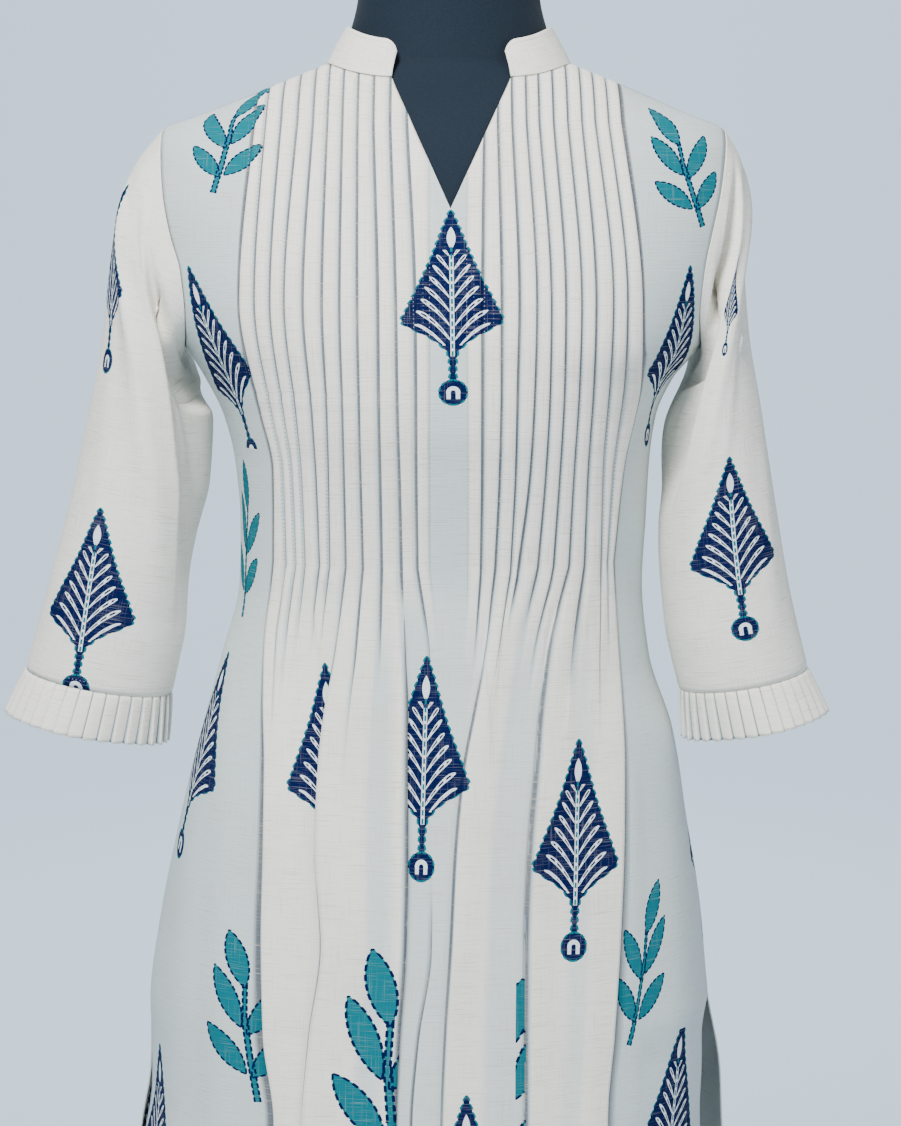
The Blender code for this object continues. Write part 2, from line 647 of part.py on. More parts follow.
def frill(side, finish):
    """Knife-pleated strip sewn to the cuff, flaring a little."""
    turns = [2.0 * math.pi * k / FRILL_CELLS for k in range(FRILL_CELLS)]
    grid = sleeve_rings(side, turns, [0.0, 7.6, 8.0])[0]
    cuff = grid[2]
    centre = cuff.mean(axis=0)
    down = centre - grid[1].mean(axis=0)
    down /= np.linalg.norm(down)
    outer, inner = [], []
    for share in (0.0, 0.35, 1.0):
        outer_row, inner_row = [], []
        for pleat in range(FRILL_PLEATS):
            for part, rise in ((0.03, 1.0), (0.97, 0.0)):
                turn = 2.0 * math.pi * (pleat + part) / FRILL_PLEATS
                place = turn / (2.0 * math.pi) * FRILL_CELLS
                low = int(place) % FRILL_CELLS
                rim = cuff[low] + (cuff[(low + 1) % FRILL_CELLS] - cuff[low]) * (place - int(place))
                away = rim - centre
                away -= down * away.dot(down)
                away /= np.linalg.norm(away)
                flare = FRILL_FLARE * share
                height = FRILL_PLEAT_HEIGHT * (0.35 + 0.65 * share) * rise
                spot = rim + down * (SEAM + FRILL_LENGTH * share)
                outer_row.append(spot + away * (flare + height))
                inner_row.append(spot + away * (flare - CLOTH))
        outer.append(outer_row)
        inner.append(inner_row)
    return wall("frill_" + side, np.array(outer), np.array(inner), True, finish)


def collar(front_top, back_top, finish):
    """Band collar from one side of the V, round the back, to the other."""
    distance = np.abs(front_top[:, 0])
    ahead = front_top[distance < NECK_HALF_WIDTH + 1e-5]
    right = ahead[ahead[:, 0] < -COLLAR_END_RIGHT + 1e-5][::-1]
    left = ahead[ahead[:, 0] > COLLAR_END_LEFT - 1e-5][::-1]
    behind = back_top[np.abs(back_top[:, 0]) < NECK_HALF_WIDTH - 1e-3]
    base = np.concatenate((right, behind, left))
    steps = np.linalg.norm(np.diff(base, axis=0), axis=1)
    along = np.concatenate(([0.0], np.cumsum(steps)))
    to_end = np.minimum(along, along[-1] - along)
    outer, inner = [], []
    for share in (0.0, 0.5, 1.0):
        outer_row, inner_row = [], []
        for point, end in zip(base, to_end):
            away = np.array((point[0], point[1], 0.0))
            away /= np.linalg.norm(away)
            short = COLLAR_CORNER - min(end, COLLAR_CORNER)
            height = COLLAR_HEIGHT - COLLAR_CORNER + math.sqrt(COLLAR_CORNER ** 2 - 0.96 * short ** 2)
            lean = COLLAR_LEAN + COLLAR_SIDE_LEAN * away[0] ** 2
            spot = point - away * lean * share + np.array((0.0, 0.0, SEAM + height * share))
            outer_row.append(spot)
            inner_row.append(spot - away * CLOTH)
        outer.append(outer_row)
        inner.append(inner_row)
    return wall("collar", np.array(outer), np.array(inner), False, finish)


def pulled_clear(tree, point, normal):
    """The point pulled in along its normal until it clears the cloth."""
    reach = 0.030
    nearest = reach + FORM_GAP
    around = ((0.0, 0.0, 0.0), (0.005, 0.0, 0.0), (-0.005, 0.0, 0.0), (0.0, 0.004, 0.0), (0.0, -0.004, 0.0),
              (0.0, 0.0, 0.003), (0.0, 0.0, -0.003))
    for step in around:
        start = Vector(point - normal * reach + np.array(step))
        distance = tree.ray_cast(start, Vector(normal), 2.0 * reach)[3]
        if distance is not None:
            nearest = min(nearest, distance)
    return point - normal * (reach + FORM_GAP - nearest)


def form_body(cloth, finish):
    """Torso of the form with its neck, arm plates and closed ends."""
    points, polygons = [], []
    for piece in cloth:
        polygons += [tuple(len(points) + k for k in face.vertices) for face in piece.data.polygons]
        points += [tuple(vertex.co) for vertex in piece.data.vertices]
    tree = BVHTree.FromPolygons(points, polygons)
    count = 40
    rings = []
    for drop, half, front, back in FORM_NECK:
        ring = []
        for k in range(count):
            turn = 2.0 * math.pi * k / count
            depth = front if math.cos(turn) > 0.0 else back
            ring.append((half * math.sin(turn), -depth * math.cos(turn), NECK_POINT_HEIGHT - drop))
        rings.append(ring)
    drops = (0.005, 0.010, 0.015, 0.020, 0.026, 0.032, 0.037, 0.042, 0.050, 0.062, 0.080, 0.105, 0.135,
             0.165, 0.200, 0.240, 0.290, 0.340, 0.400, 0.470, 0.550, 0.620, 0.655)
    for drop in drops:
        ring = []
        inset = CLOTH + float(smooth([row[0] for row in FORM_EASE], [row[1] for row in FORM_EASE], drop))
        even = min(max((drop - 0.060) / 0.060, 0.0), 1.0)
        widths = {side: float(half_width("back", side, drop)) for side in ("right", "left")}
        for k in range(count):
            turn = 360.0 * k / count
            side = "left" if turn <= 180.0 else "right"
            panel = "front" if turn < 90.0 or turn > 270.0 else "back"
            angle = min(turn % 180.0, 180.0 - turn % 180.0)
            point = cloth_point(panel, side, angle, drop)
            normal = cloth_normal(panel, side, point)
            normal[2] *= 1.0 - even
            normal /= np.linalg.norm(normal)
            point[0] *= 1.0 - even * (1.0 - min(widths.values()) / widths[side])
            point = pulled_clear(tree, point - normal * inset, normal)
            point[0] = min(max(point[0], -FORM_ARM_PLATE), FORM_ARM_PLATE)
            ring.append(tuple(point))
        rings.append(ring)
    rings = [np.array(ring) for ring in rings]
    near_rim, inside_rim = (0.985, 0.985, 1.0), (0.955, 0.955, 1.0)
    crown = [rings[0] * inside_rim + (0.0, 0.0, 0.006), rings[0] * near_rim + (0.0, 0.0, 0.004)]
    base = [rings[-1] * near_rim - (0.0, 0.0, 0.004), rings[-1] * inside_rim - (0.0, 0.0, 0.005)]
    rings = crown + rings + base
    points = np.concatenate(rings)
    faces = []
    for row in range(len(rings) - 1):
        for k in range(count):
            a, b = row * count + k, row * count + (k + 1) % count
            faces += [(a, b, b + count), (a, b + count, a + count)]
    top = len(points)
    points = np.concatenate((points, [rings[0].mean(axis=0)], [rings[-1].mean(axis=0)]))
    last = (len(rings) - 1) * count
    for k in range(count):
        faces.append((top, (k + 1) % count, k))
        faces.append((top + 1, last + k, last + (k + 1) % count))
    return add_object("form_body", points, faces, finish)


def turned(name, profile, segments, finish):
    """Round solid from a profile of (radius, height), bottom to top."""
    points, faces = [], []
    for radius, height in profile:
        for k in range(segments):
            turn = 2.0 * math.pi * k / segments
            points.append((radius * math.cos(turn), radius * math.sin(turn), height))
    for row in range(len(profile) - 1):
        for k in range(segments):
            a, b = row * segments + k, row * segments + (k + 1) % segments
            faces.append((a, b, b + segments, a + segments))
    faces.append(tuple(range(segments))[::-1])
    faces.append(tuple(range((len(profile) - 1) * segments, len(profile) * segments)))
    return add_object(name, points, faces, finish)


def build():
    """Make every piece of the kurta and of its form."""
    for old in list(bpy.data.objects):
        bpy.data.objects.remove(old, do_unlink=True)
    cotton = material("handloom_cotton", (0.80, 0.78, 0.71), 0.85)
    jersey = material("dark_jersey", (0.025, 0.035, 0.050), 0.90)
    steel = material("satin_steel", (0.55, 0.56, 0.58), 0.35, 1.0)
    front, front_top = front_panel(cotton)
    back, back_top = back_panel(cotton)
    for side in ("right", "left"):
        sleeve(side, cotton)
        frill(side, cotton)
    collar(front_top, back_top, cotton)
    form_body((front, back), jersey)
    form_bottom = NECK_POINT_HEIGHT - FORM_BOTTOM_DROP
    pole = ((POLE_RADIUS, FOOT_THICKNESS + TOUCH), (POLE_RADIUS, form_bottom - TOUCH))
    turned("form_pole", pole, 24, steel)
    edge = FOOT_THICKNESS - FOOT_BEVEL
    foot = ((FOOT_RADIUS, 0.0), (FOOT_RADIUS, edge), (FOOT_RADIUS - FOOT_BEVEL, FOOT_THICKNESS))
    turned("form_foot", foot, 56, steel)


build()
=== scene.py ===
import math

import bmesh
import bpy
import numpy as np
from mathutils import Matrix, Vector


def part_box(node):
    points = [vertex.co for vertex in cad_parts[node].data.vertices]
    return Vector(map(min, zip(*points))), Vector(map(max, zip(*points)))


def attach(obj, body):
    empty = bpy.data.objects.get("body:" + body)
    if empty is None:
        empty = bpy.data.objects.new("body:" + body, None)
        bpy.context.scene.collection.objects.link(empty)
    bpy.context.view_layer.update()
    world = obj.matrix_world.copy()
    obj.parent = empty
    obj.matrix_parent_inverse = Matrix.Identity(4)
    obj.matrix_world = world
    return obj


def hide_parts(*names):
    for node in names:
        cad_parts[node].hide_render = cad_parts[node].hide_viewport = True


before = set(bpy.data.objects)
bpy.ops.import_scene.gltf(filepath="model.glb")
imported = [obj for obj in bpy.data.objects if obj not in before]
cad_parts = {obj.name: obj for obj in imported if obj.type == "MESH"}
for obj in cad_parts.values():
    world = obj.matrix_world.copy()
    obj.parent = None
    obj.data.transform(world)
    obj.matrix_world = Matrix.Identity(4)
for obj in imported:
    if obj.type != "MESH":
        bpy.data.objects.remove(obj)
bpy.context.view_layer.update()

bpy.ops.object.select_all(action="DESELECT")


# Camera
# The kurta is seen from the front at chest height, a little from above, as a
# shop photographs it. The frame cuts the skirt off below the knee.
camera_data = bpy.data.cameras.new("camera")
camera_data.sensor_fit = "VERTICAL"
camera_data.sensor_height = 36.0
camera_data.lens = 91.36
camera = bpy.data.objects.new("camera", camera_data)
camera.location = (0.001, -1.90, 1.28)
camera.rotation_euler = (math.radians(90.0 - 7.07), 0.0, 0.0)
bpy.context.scene.collection.objects.link(camera)
bpy.context.scene.camera = camera


# Wall and floor
# One pale sheet runs under the stand and far behind the kurta bends up to a
# wall. It is painted a cool blue-grey like the wall of the shop.
FLOOR_FRONT = -30.0
WALL_BACK = 7.0
WALL_BEND = 2.5
WALL_HEIGHT = 6.0
WALL_HALF_WIDTH = 30.0


def linear(red, green, blue):
    """A colour as screens give it, turned into the shader's own scale."""
    return tuple((value / 255.0) ** 2.2 for value in (red, green, blue)) + (1.0,)


backdrop_mesh = bpy.data.meshes.new("backdrop")
path = [(FLOOR_FRONT, -0.0005), (WALL_BACK - WALL_BEND, -0.0005)]
for step in range(1, 13):
    turn = 0.5 * math.pi * step / 12
    path.append((WALL_BACK - WALL_BEND + WALL_BEND * math.sin(turn), WALL_BEND * (1.0 - math.cos(turn)) - 0.0005))
path.append((WALL_BACK, WALL_HEIGHT))
corners = [(side * WALL_HALF_WIDTH, y, z) for y, z in path for side in (-1, 1)]
quads = [(2 * k, 2 * k + 1, 2 * k + 3, 2 * k + 2) for k in range(len(path) - 1)]
backdrop_mesh.from_pydata(corners, [], quads)
backdrop_mesh.shade_smooth()
backdrop = bpy.data.objects.new("backdrop", backdrop_mesh)
bpy.context.scene.collection.objects.link(backdrop)
paint = bpy.data.materials.new("wall_paint")
paint.use_nodes = True
paint_shader = paint.node_tree.nodes["Principled BSDF"]
paint_shader.inputs["Base Color"].default_value = linear(206, 225, 242)
paint_shader.inputs["Roughness"].default_value = 0.95
paint_noise = paint.node_tree.nodes.new("ShaderNodeTexNoise")
paint_noise.inputs["Scale"].default_value = 60.0
paint_bump = paint.node_tree.nodes.new("ShaderNodeBump")
paint_bump.inputs["Strength"].default_value = 0.03
paint.node_tree.links.new(paint_noise.outputs["Fac"], paint_bump.inputs["Height"])
paint.node_tree.links.new(paint_bump.outputs["Normal"], paint_shader.inputs["Normal"])
backdrop_mesh.materials.append(paint)


# Studio light
# A soft light hangs in front and above, a weaker one fills from the wearer's
# left, a wide one lights the wall, and a pale surround opens the shadows.
LIGHTS = (
    # name, place, aim, size, power
    ("key_light", (-0.55, -1.55, 2.75), (0.0, 0.0, 1.08), 0.7, 92.0),
    ("fill_light", (1.50, -1.90, 1.50), (0.0, 0.0, 0.95), 1.5, 15.0),
    ("wall_light", (0.0, 2.2, 4.6), (0.0, 7.0, 0.8), 3.0, 300.0),
)
for name, place, aim, size, power in LIGHTS:
    light_data = bpy.data.lights.new(name, "AREA")
    light_data.shape = "DISK"
    light_data.size = size
    light_data.energy = power
    light = bpy.data.objects.new(name, light_data)
    light.location = place
    away = np.array(place) - np.array(aim)
    flat = math.hypot(away[0], away[1])
    light.rotation_euler = (math.atan2(flat, away[2]), 0.0, math.atan2(away[0], -away[1]))
    bpy.context.scene.collection.objects.link(light)
surround = bpy.data.worlds.new("surround")
surround.use_nodes = True
surround.node_tree.nodes["Background"].inputs["Color"].default_value = (0.86, 0.93, 1.0, 1.0)
surround.node_tree.nodes["Background"].inputs["Strength"].default_value = 0.50
bpy.context.scene.world = surround


# Handloom cotton with block prints
# Cream plain-weave cotton with uneven yarns. Cypress leaves are printed in
# navy and sprigs in teal, and running stitches follow the printed edges.
CREAM = linear(248, 243, 231)
SINGLE_LAYER = linear(202, 213, 213)
SLUB = linear(196, 188, 172)
# Painted shade: a grey laid along fold edges and pleat valleys where shadow would fall
PAINTED_SHADE_GREY = linear(104, 112, 120)
NAVY = linear(5, 24, 66)
TEAL = linear(0, 106, 117)
STITCH_WHITE = linear(226, 234, 236)
NEEDLE_SHADE = linear(150, 150, 150)
LEAF_LENGTH = 0.128
LEAF_WIDEST = 0.031
BEAD_RADIUS = 0.0092
SCALLOP_DEPTH = 0.0009
LEAFLET_PITCH = 0.0098
SPRIG_TOP = (-0.0215, -0.1090)
PRINT_REACH = 0.042


def calc(tree, operation, *values):
    """A math node on sockets or numbers, giving its result's socket."""
    node = tree.nodes.new("ShaderNodeMath")
    node.operation = operation
    for place, value in enumerate(values):
        if isinstance(value, (int, float)):
            node.inputs[place].default_value = value
        else:
            tree.links.new(value, node.inputs[place])
    return node.outputs[0]


def both(tree, first, *others):
    """Where all of the masks hold."""
    for other in others:
        first = calc(tree, "MULTIPLY", first, other)
    return first


def either(tree, first, *others):
    """Where any of the masks holds."""
    for other in others:
        first = calc(tree, "MAXIMUM", first, other)
    return first


def within(tree, value, low, high):
    """Mask of a value between two limits."""
    over = calc(tree, "GREATER_THAN", value, low)
    return both(tree, over, calc(tree, "LESS_THAN", value, high))


def dashes(tree, value, pitch, share):
    """Mask of running stitches along a length."""
    return calc(tree, "LESS_THAN", calc(tree, "FRACT", calc(tree, "DIVIDE", value, pitch)), share)


def group(name, inputs, outputs):
    """Empty node group with float sockets, and its ends."""
    tree = bpy.data.node_groups.new(name, "ShaderNodeTree")
    for label in inputs:
        tree.interface.new_socket(label, in_out="INPUT", socket_type="NodeSocketFloat")
    for label in outputs:
        tree.interface.new_socket(label, in_out="OUTPUT", socket_type="NodeSocketFloat")
    start = tree.nodes.new("NodeGroupInput")
    end = tree.nodes.new("NodeGroupOutput")
    return tree, start, end


def leaf_group():
    """Cypress leaf print: across and down from its tip, in metres."""
    tree, start, end = group("cypress_leaf", ("across", "down"), ("navy", "white", "teal"))
    side = calc(tree, "ABSOLUTE", start.outputs["across"])
    down = start.outputs["down"]
    share = calc(tree, "DIVIDE", down, LEAF_LENGTH)
    curve = tree.nodes.new("ShaderNodeFloatCurve")
    points = curve.mapping.curves[0].points
    for place, height in ((0.06, 0.10), (0.30, 0.46), (0.56, 0.93), (0.605, 1.0), (0.64, 0.86), (0.70, 0.44),
                          (0.75, 0.20), (0.80, 0.075)):
        points.new(place, height)
    points[0].location = (0.0, 0.0)
    points[-1].location = (1.0, 0.075)
    curve.mapping.update()
    tree.links.new(share, curve.inputs["Value"])
    scallop = calc(tree, "ABSOLUTE", calc(tree, "SINE", calc(tree, "MULTIPLY", down, math.pi / 0.0052)))
    shaped = calc(tree, "MULTIPLY", curve.outputs["Value"], LEAF_WIDEST)
    width = calc(tree, "MULTIPLY_ADD", scallop, SCALLOP_DEPTH, shaped)
    edge = calc(tree, "SUBTRACT", side, width)
    inside = both(tree, calc(tree, "LESS_THAN", edge, 0.0), within(tree, share, 0.0, 0.97))
    from_bead = calc(tree, "SUBTRACT", down, LEAF_LENGTH)
    radius = calc(tree, "SQRT", calc(tree, "ADD", calc(tree, "MULTIPLY", side, side),
                                     calc(tree, "MULTIPLY", from_bead, from_bead)))
    bead = calc(tree, "LESS_THAN", radius, BEAD_RADIUS)
    tree.links.new(either(tree, inside, bead), end.inputs["navy"])

    arch = both(tree, within(tree, radius, 0.0016, 0.0044), calc(tree, "LESS_THAN", from_bead, 0.0008))
    legs = both(tree, within(tree, side, 0.0016, 0.0042), within(tree, from_bead, 0.0, 0.0046))
    rise = calc(tree, "MULTIPLY", side, calc(tree, "SUBTRACT", 1.60, calc(tree, "MULTIPLY", side, 27.0)))
    slanted = calc(tree, "DIVIDE", calc(tree, "ADD", down, rise), LEAFLET_PITCH)
    off = calc(tree, "ABSOLUTE", calc(tree, "SUBTRACT", calc(tree, "FRACT", slanted), 0.5))
    reach = calc(tree, "DIVIDE", calc(tree, "SUBTRACT", side, 0.0016),
                 calc(tree, "MAXIMUM", calc(tree, "MULTIPLY_ADD", width, 0.76, -0.0016), 0.0005))
    blunt = calc(tree, "POWER", calc(tree, "MAXIMUM", reach, 0.0), 5.0)
    slim = calc(tree, "SQRT", calc(tree, "MAXIMUM", reach, 0.0))
    lens = calc(tree, "MULTIPLY", slim, calc(tree, "SUBTRACT", 1.0, blunt))
    zone = both(tree, within(tree, share, 0.22, 0.74), within(tree, reach, 0.0, 1.0))
    leaflets = both(tree, calc(tree, "LESS_THAN", off, calc(tree, "MULTIPLY_ADD", lens, 0.22, 0.04)), zone)
    hollow = both(tree, calc(tree, "LESS_THAN", off, calc(tree, "MULTIPLY", lens, 0.115)),
                  within(tree, reach, 0.12, 0.86), dashes(tree, side, 0.0052, 0.68))
    leaflets = both(tree, leaflets, calc(tree, "SUBTRACT", 1.0, hollow))
    oval_down = calc(tree, "DIVIDE", calc(tree, "SUBTRACT", share, 0.155), 0.062)
    oval_side = calc(tree, "DIVIDE", side, 0.0027)
    oval = calc(tree, "LESS_THAN", calc(tree, "ADD", calc(tree, "MULTIPLY", oval_down, oval_down), oval_side), 1.0)
    rib = both(tree, calc(tree, "LESS_THAN", side, 0.0013), within(tree, share, 0.25, 0.80))
    white = both(tree, either(tree, leaflets, oval, rib), inside)
    tree.links.new(either(tree, white, both(tree, either(tree, arch, legs), bead)), end.inputs["white"])

    rib_thread = both(tree, calc(tree, "LESS_THAN", side, 0.0007), within(tree, share, 0.20, 0.80),
                      dashes(tree, down, 0.0052, 0.66))
    edge_thread = both(tree, within(tree, edge, -0.0007, 0.0007), dashes(tree, down, 0.0052, 0.70),
                       within(tree, share, 0.0, 0.93))
    around = calc(tree, "ARCTAN2", side, from_bead)
    bead_thread = both(tree, within(tree, radius, BEAD_RADIUS - 0.0010, BEAD_RADIUS + 0.0003),
                       dashes(tree, around, 0.55, 0.66))
    tree.links.new(either(tree, rib_thread, edge_thread, bead_thread), end.inputs["teal"])
    return tree


def blade_group():
    """One pointed leaf of the sprig, from its base to its tip, in metres."""
    labels = ("across", "down", "base_across", "base_down", "tip_across", "tip_down", "half_width", "stem")
    tree, start, end = group("sprig_blade", labels, ("fill", "outline"))
    value = {label: start.outputs[label] for label in labels}
    run = calc(tree, "SUBTRACT", value["tip_across"], value["base_across"])
    fall = calc(tree, "SUBTRACT", value["tip_down"], value["base_down"])
    squares = calc(tree, "ADD", calc(tree, "MULTIPLY", run, run), calc(tree, "MULTIPLY", fall, fall))
    length = calc(tree, "SQRT", squares)
    px = calc(tree, "SUBTRACT", value["across"], value["base_across"])
    py = calc(tree, "SUBTRACT", value["down"], value["base_down"])
    onward = calc(tree, "ADD", calc(tree, "MULTIPLY", px, run), calc(tree, "MULTIPLY", py, fall))
    along = calc(tree, "DIVIDE", onward, length)
    sideways = calc(tree, "SUBTRACT", calc(tree, "MULTIPLY", px, fall), calc(tree, "MULTIPLY", py, run))
    off = calc(tree, "DIVIDE", sideways, length)
    off = calc(tree, "ABSOLUTE", off)
    share = calc(tree, "DIVIDE", along, length)
    swell = calc(tree, "MULTIPLY", calc(tree, "MULTIPLY", share, calc(tree, "SUBTRACT", 1.0, share)), 4.0)
    swell = calc(tree, "POWER", calc(tree, "MAXIMUM", swell, 0.0), 0.85)
    shape = calc(tree, "MAXIMUM", swell, value["stem"])
    edge = calc(tree, "SUBTRACT", off, calc(tree, "MULTIPLY", shape, value["half_width"]))
    held = within(tree, share, 0.0, 1.0)
    tree.links.new(both(tree, calc(tree, "LESS_THAN", edge, 0.0), held), end.inputs["fill"])
    line = both(tree, within(tree, edge, -0.0009, 0.0005), held, dashes(tree, along, 0.0046, 0.68))
    tree.links.new(line, end.inputs["outline"])
    return tree


def sprig_group(blade):
    """Sprig print: across and down from the foot of its stem, in metres."""
    tree, start, end = group("leafy_sprig", ("across", "down"), ("fill", "outline"))
    blades = (
        # base across, base down, tip across, tip down, half width, stem
        (0.0000, 0.0000, -0.0056, -0.0280, 0.0021, 1.0),
        (-0.0056, -0.0280, -0.0096, -0.0540, 0.0019, 1.0),
        (-0.0096, -0.0540, -0.0102, -0.0760, 0.0015, 1.0),
        (-0.0099, -0.0730, -0.0215, -0.1090, 0.0068, 0.0),
        (-0.0115, -0.0470, -0.0300, -0.0850, 0.0063, 0.0),
        (-0.0075, -0.0170, -0.0335, -0.0465, 0.0068, 0.0),
        (-0.0080, -0.0430, 0.0143, -0.0770, 0.0068, 0.0),
        (-0.0040, -0.0155, 0.0175, -0.0450, 0.0068, 0.0),
    )
    fills, outlines = [], []
    for numbers in blades:
        node = tree.nodes.new("ShaderNodeGroup")
        node.node_tree = blade
        tree.links.new(start.outputs["across"], node.inputs["across"])
        tree.links.new(start.outputs["down"], node.inputs["down"])
        labels = ("base_across", "base_down", "tip_across", "tip_down", "half_width", "stem")
        for label, number in zip(labels, numbers):
            node.inputs[label].default_value = number
        fills.append(node.outputs["fill"])
        outlines.append(node.outputs["outline"])
    tree.links.new(either(tree, *fills), end.inputs["fill"])
    tree.links.new(either(tree, *outlines), end.inputs["outline"])
    return tree


def mixed(tree, amount, under, over):
    """Colour mix by a mask; either end may be a colour or a socket."""
    node = tree.nodes.new("ShaderNodeMix")
    node.data_type = "RGBA"
    tree.links.new(amount, node.inputs[0])
    for socket, value in ((node.inputs[6], under), (node.inputs[7], over)):
        if isinstance(value, tuple):
            socket.default_value = value
        else:
            tree.links.new(value, socket)
    return node.outputs[2]


def stretched_noise(tree, source, across, down, detail):
    """Noise on the cloth's own length and width, drawn out along a yarn."""
    mapping = tree.nodes.new("ShaderNodeMapping")
    mapping.inputs["Scale"].default_value = (across, down, 1.0)
    tree.links.new(source, mapping.inputs["Vector"])
    noise = tree.nodes.new("ShaderNodeTexNoise")
    noise.inputs["Scale"].default_value = 1.0
    noise.inputs["Detail"].default_value = detail
    tree.links.new(mapping.outputs["Vector"], noise.inputs["Vector"])
    return noise.outputs["Fac"]


def handloom_cotton(name, print_group=None):
    """Cream cotton of every cut piece, plain or with one kind of print."""
    made = bpy.data.materials.new(name)
    made.use_nodes = True
    tree = made.node_tree
    shader = tree.nodes["Principled BSDF"]
    shader.inputs["Roughness"].default_value = 0.92
    shader.inputs["Specular IOR Level"].default_value = 0.10
    cloth_uv = tree.nodes.new("ShaderNodeUVMap")
    cloth_uv.uv_map = "cloth"
    weft = stretched_noise(tree, cloth_uv.outputs["UV"], 45.0, 1400.0, 1.0)
    warp = stretched_noise(tree, cloth_uv.outputs["UV"], 1500.0, 40.0, 1.0)
    broad = stretched_noise(tree, cloth_uv.outputs["UV"], 11.0, 16.0, 2.0)
    layers_and_painted_shade = tree.nodes.new("ShaderNodeAttribute")
    layers_and_painted_shade.attribute_name = "layers_and_painted_shade"
    ground = mixed(tree, calc(tree, "MAXIMUM", layers_and_painted_shade.outputs["Fac"], 0.0), SINGLE_LAYER, CREAM)
    # Below zero the attribute carries painted shade, which mixes in the grey where folds would shade the cloth
    painted_shade_amount = calc(tree, "MAXIMUM", calc(tree, "MULTIPLY", layers_and_painted_shade.outputs["Fac"], -0.95), 0.0)
    ground = mixed(tree, painted_shade_amount, ground, PAINTED_SHADE_GREY)
    slub = calc(tree, "MAXIMUM", calc(tree, "SUBTRACT", weft, 0.56), calc(tree, "SUBTRACT", warp, 0.60))
    tone = calc(tree, "MULTIPLY", calc(tree, "SUBTRACT", broad, 0.42), 0.5)
    grey = calc(tree, "MULTIPLY_ADD", calc(tree, "MAXIMUM", slub, 0.0), 3.0, calc(tree, "MAXIMUM", tone, 0.0))
    colour = mixed(tree, grey, ground, SLUB)

    if print_group is not None:
        print_uv = tree.nodes.new("ShaderNodeUVMap")
        print_uv.uv_map = "print"
        split = tree.nodes.new("ShaderNodeSeparateXYZ")
        tree.links.new(print_uv.outputs["UV"], split.inputs["Vector"])
        block = tree.nodes.new("ShaderNodeGroup")
        block.node_tree = print_group
        tree.links.new(split.outputs["X"], block.inputs["across"])
        tree.links.new(split.outputs["Y"], block.inputs["down"])
        inked = calc(tree, "MULTIPLY_ADD", calc(tree, "MAXIMUM", slub, 0.0), -0.8, 1.0)
        if print_group.name == "cypress_leaf":
            colour = mixed(tree, both(tree, block.outputs["navy"], inked), colour, NAVY)
            colour = mixed(tree, block.outputs["white"], colour, STITCH_WHITE)
            colour = mixed(tree, block.outputs["teal"], colour, TEAL)
        else:
            colour = mixed(tree, both(tree, block.outputs["fill"], inked), colour, TEAL)
            colour = mixed(tree, block.outputs["outline"], colour, NAVY)

    stitch_uv = tree.nodes.new("ShaderNodeUVMap")
    stitch_uv.uv_map = "stitch"
    split = tree.nodes.new("ShaderNodeSeparateXYZ")
    tree.links.new(stitch_uv.outputs["UV"], split.inputs["Vector"])
    near = calc(tree, "LESS_THAN", calc(tree, "ABSOLUTE", split.outputs["X"]), 0.00032)
    needle = both(tree, near, dashes(tree, split.outputs["Y"], 0.0026, 0.30))
    colour = mixed(tree, calc(tree, "MULTIPLY", needle, 0.65), colour, NEEDLE_SHADE)
    tree.links.new(colour, shader.inputs["Base Color"])

    bump = tree.nodes.new("ShaderNodeBump")
    bump.inputs["Strength"].default_value = 0.45
    bump.inputs["Distance"].default_value = 0.0006
    tree.links.new(calc(tree, "ADD", weft, warp), bump.inputs["Height"])
    tree.links.new(bump.outputs["Normal"], shader.inputs["Normal"])
    return made


COTTONS = (
    handloom_cotton("handloom_cotton_plain"),
    handloom_cotton("handloom_cotton_leaf_print", leaf_group()),
    handloom_cotton("handloom_cotton_sprig_print", sprig_group(blade_group())),
)


# Front
# One panel of cotton with eleven stitched tucks each side of a plain strip.
# The tucks end at the waist, where the cloth opens into long soft pleats.
NECK_POINT_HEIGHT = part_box("front")[1][2]
KURTA_LENGTH = 1.120
WALL = 0.0010
NECK_HALF_WIDTH = 0.080
SHOULDER_DROP = 0.042
UNDERARM_DROP = 0.185
WAIST_DROP = 0.320
SLIT_DROP = 0.620
V_DROP = 0.094
V_SHIFT = 0.001
COLLAR_END_RIGHT = 0.0365
COLLAR_END_LEFT = 0.0395
COLLAR_END_DROP = 0.011
BACK_NECK_DROP = 0.012
TUCK_HEIGHT = 0.0018
STITCH_GAP = 0.0020
HEM_STITCH = 0.018
TURNED_EDGE = (0.0410, 0.575)

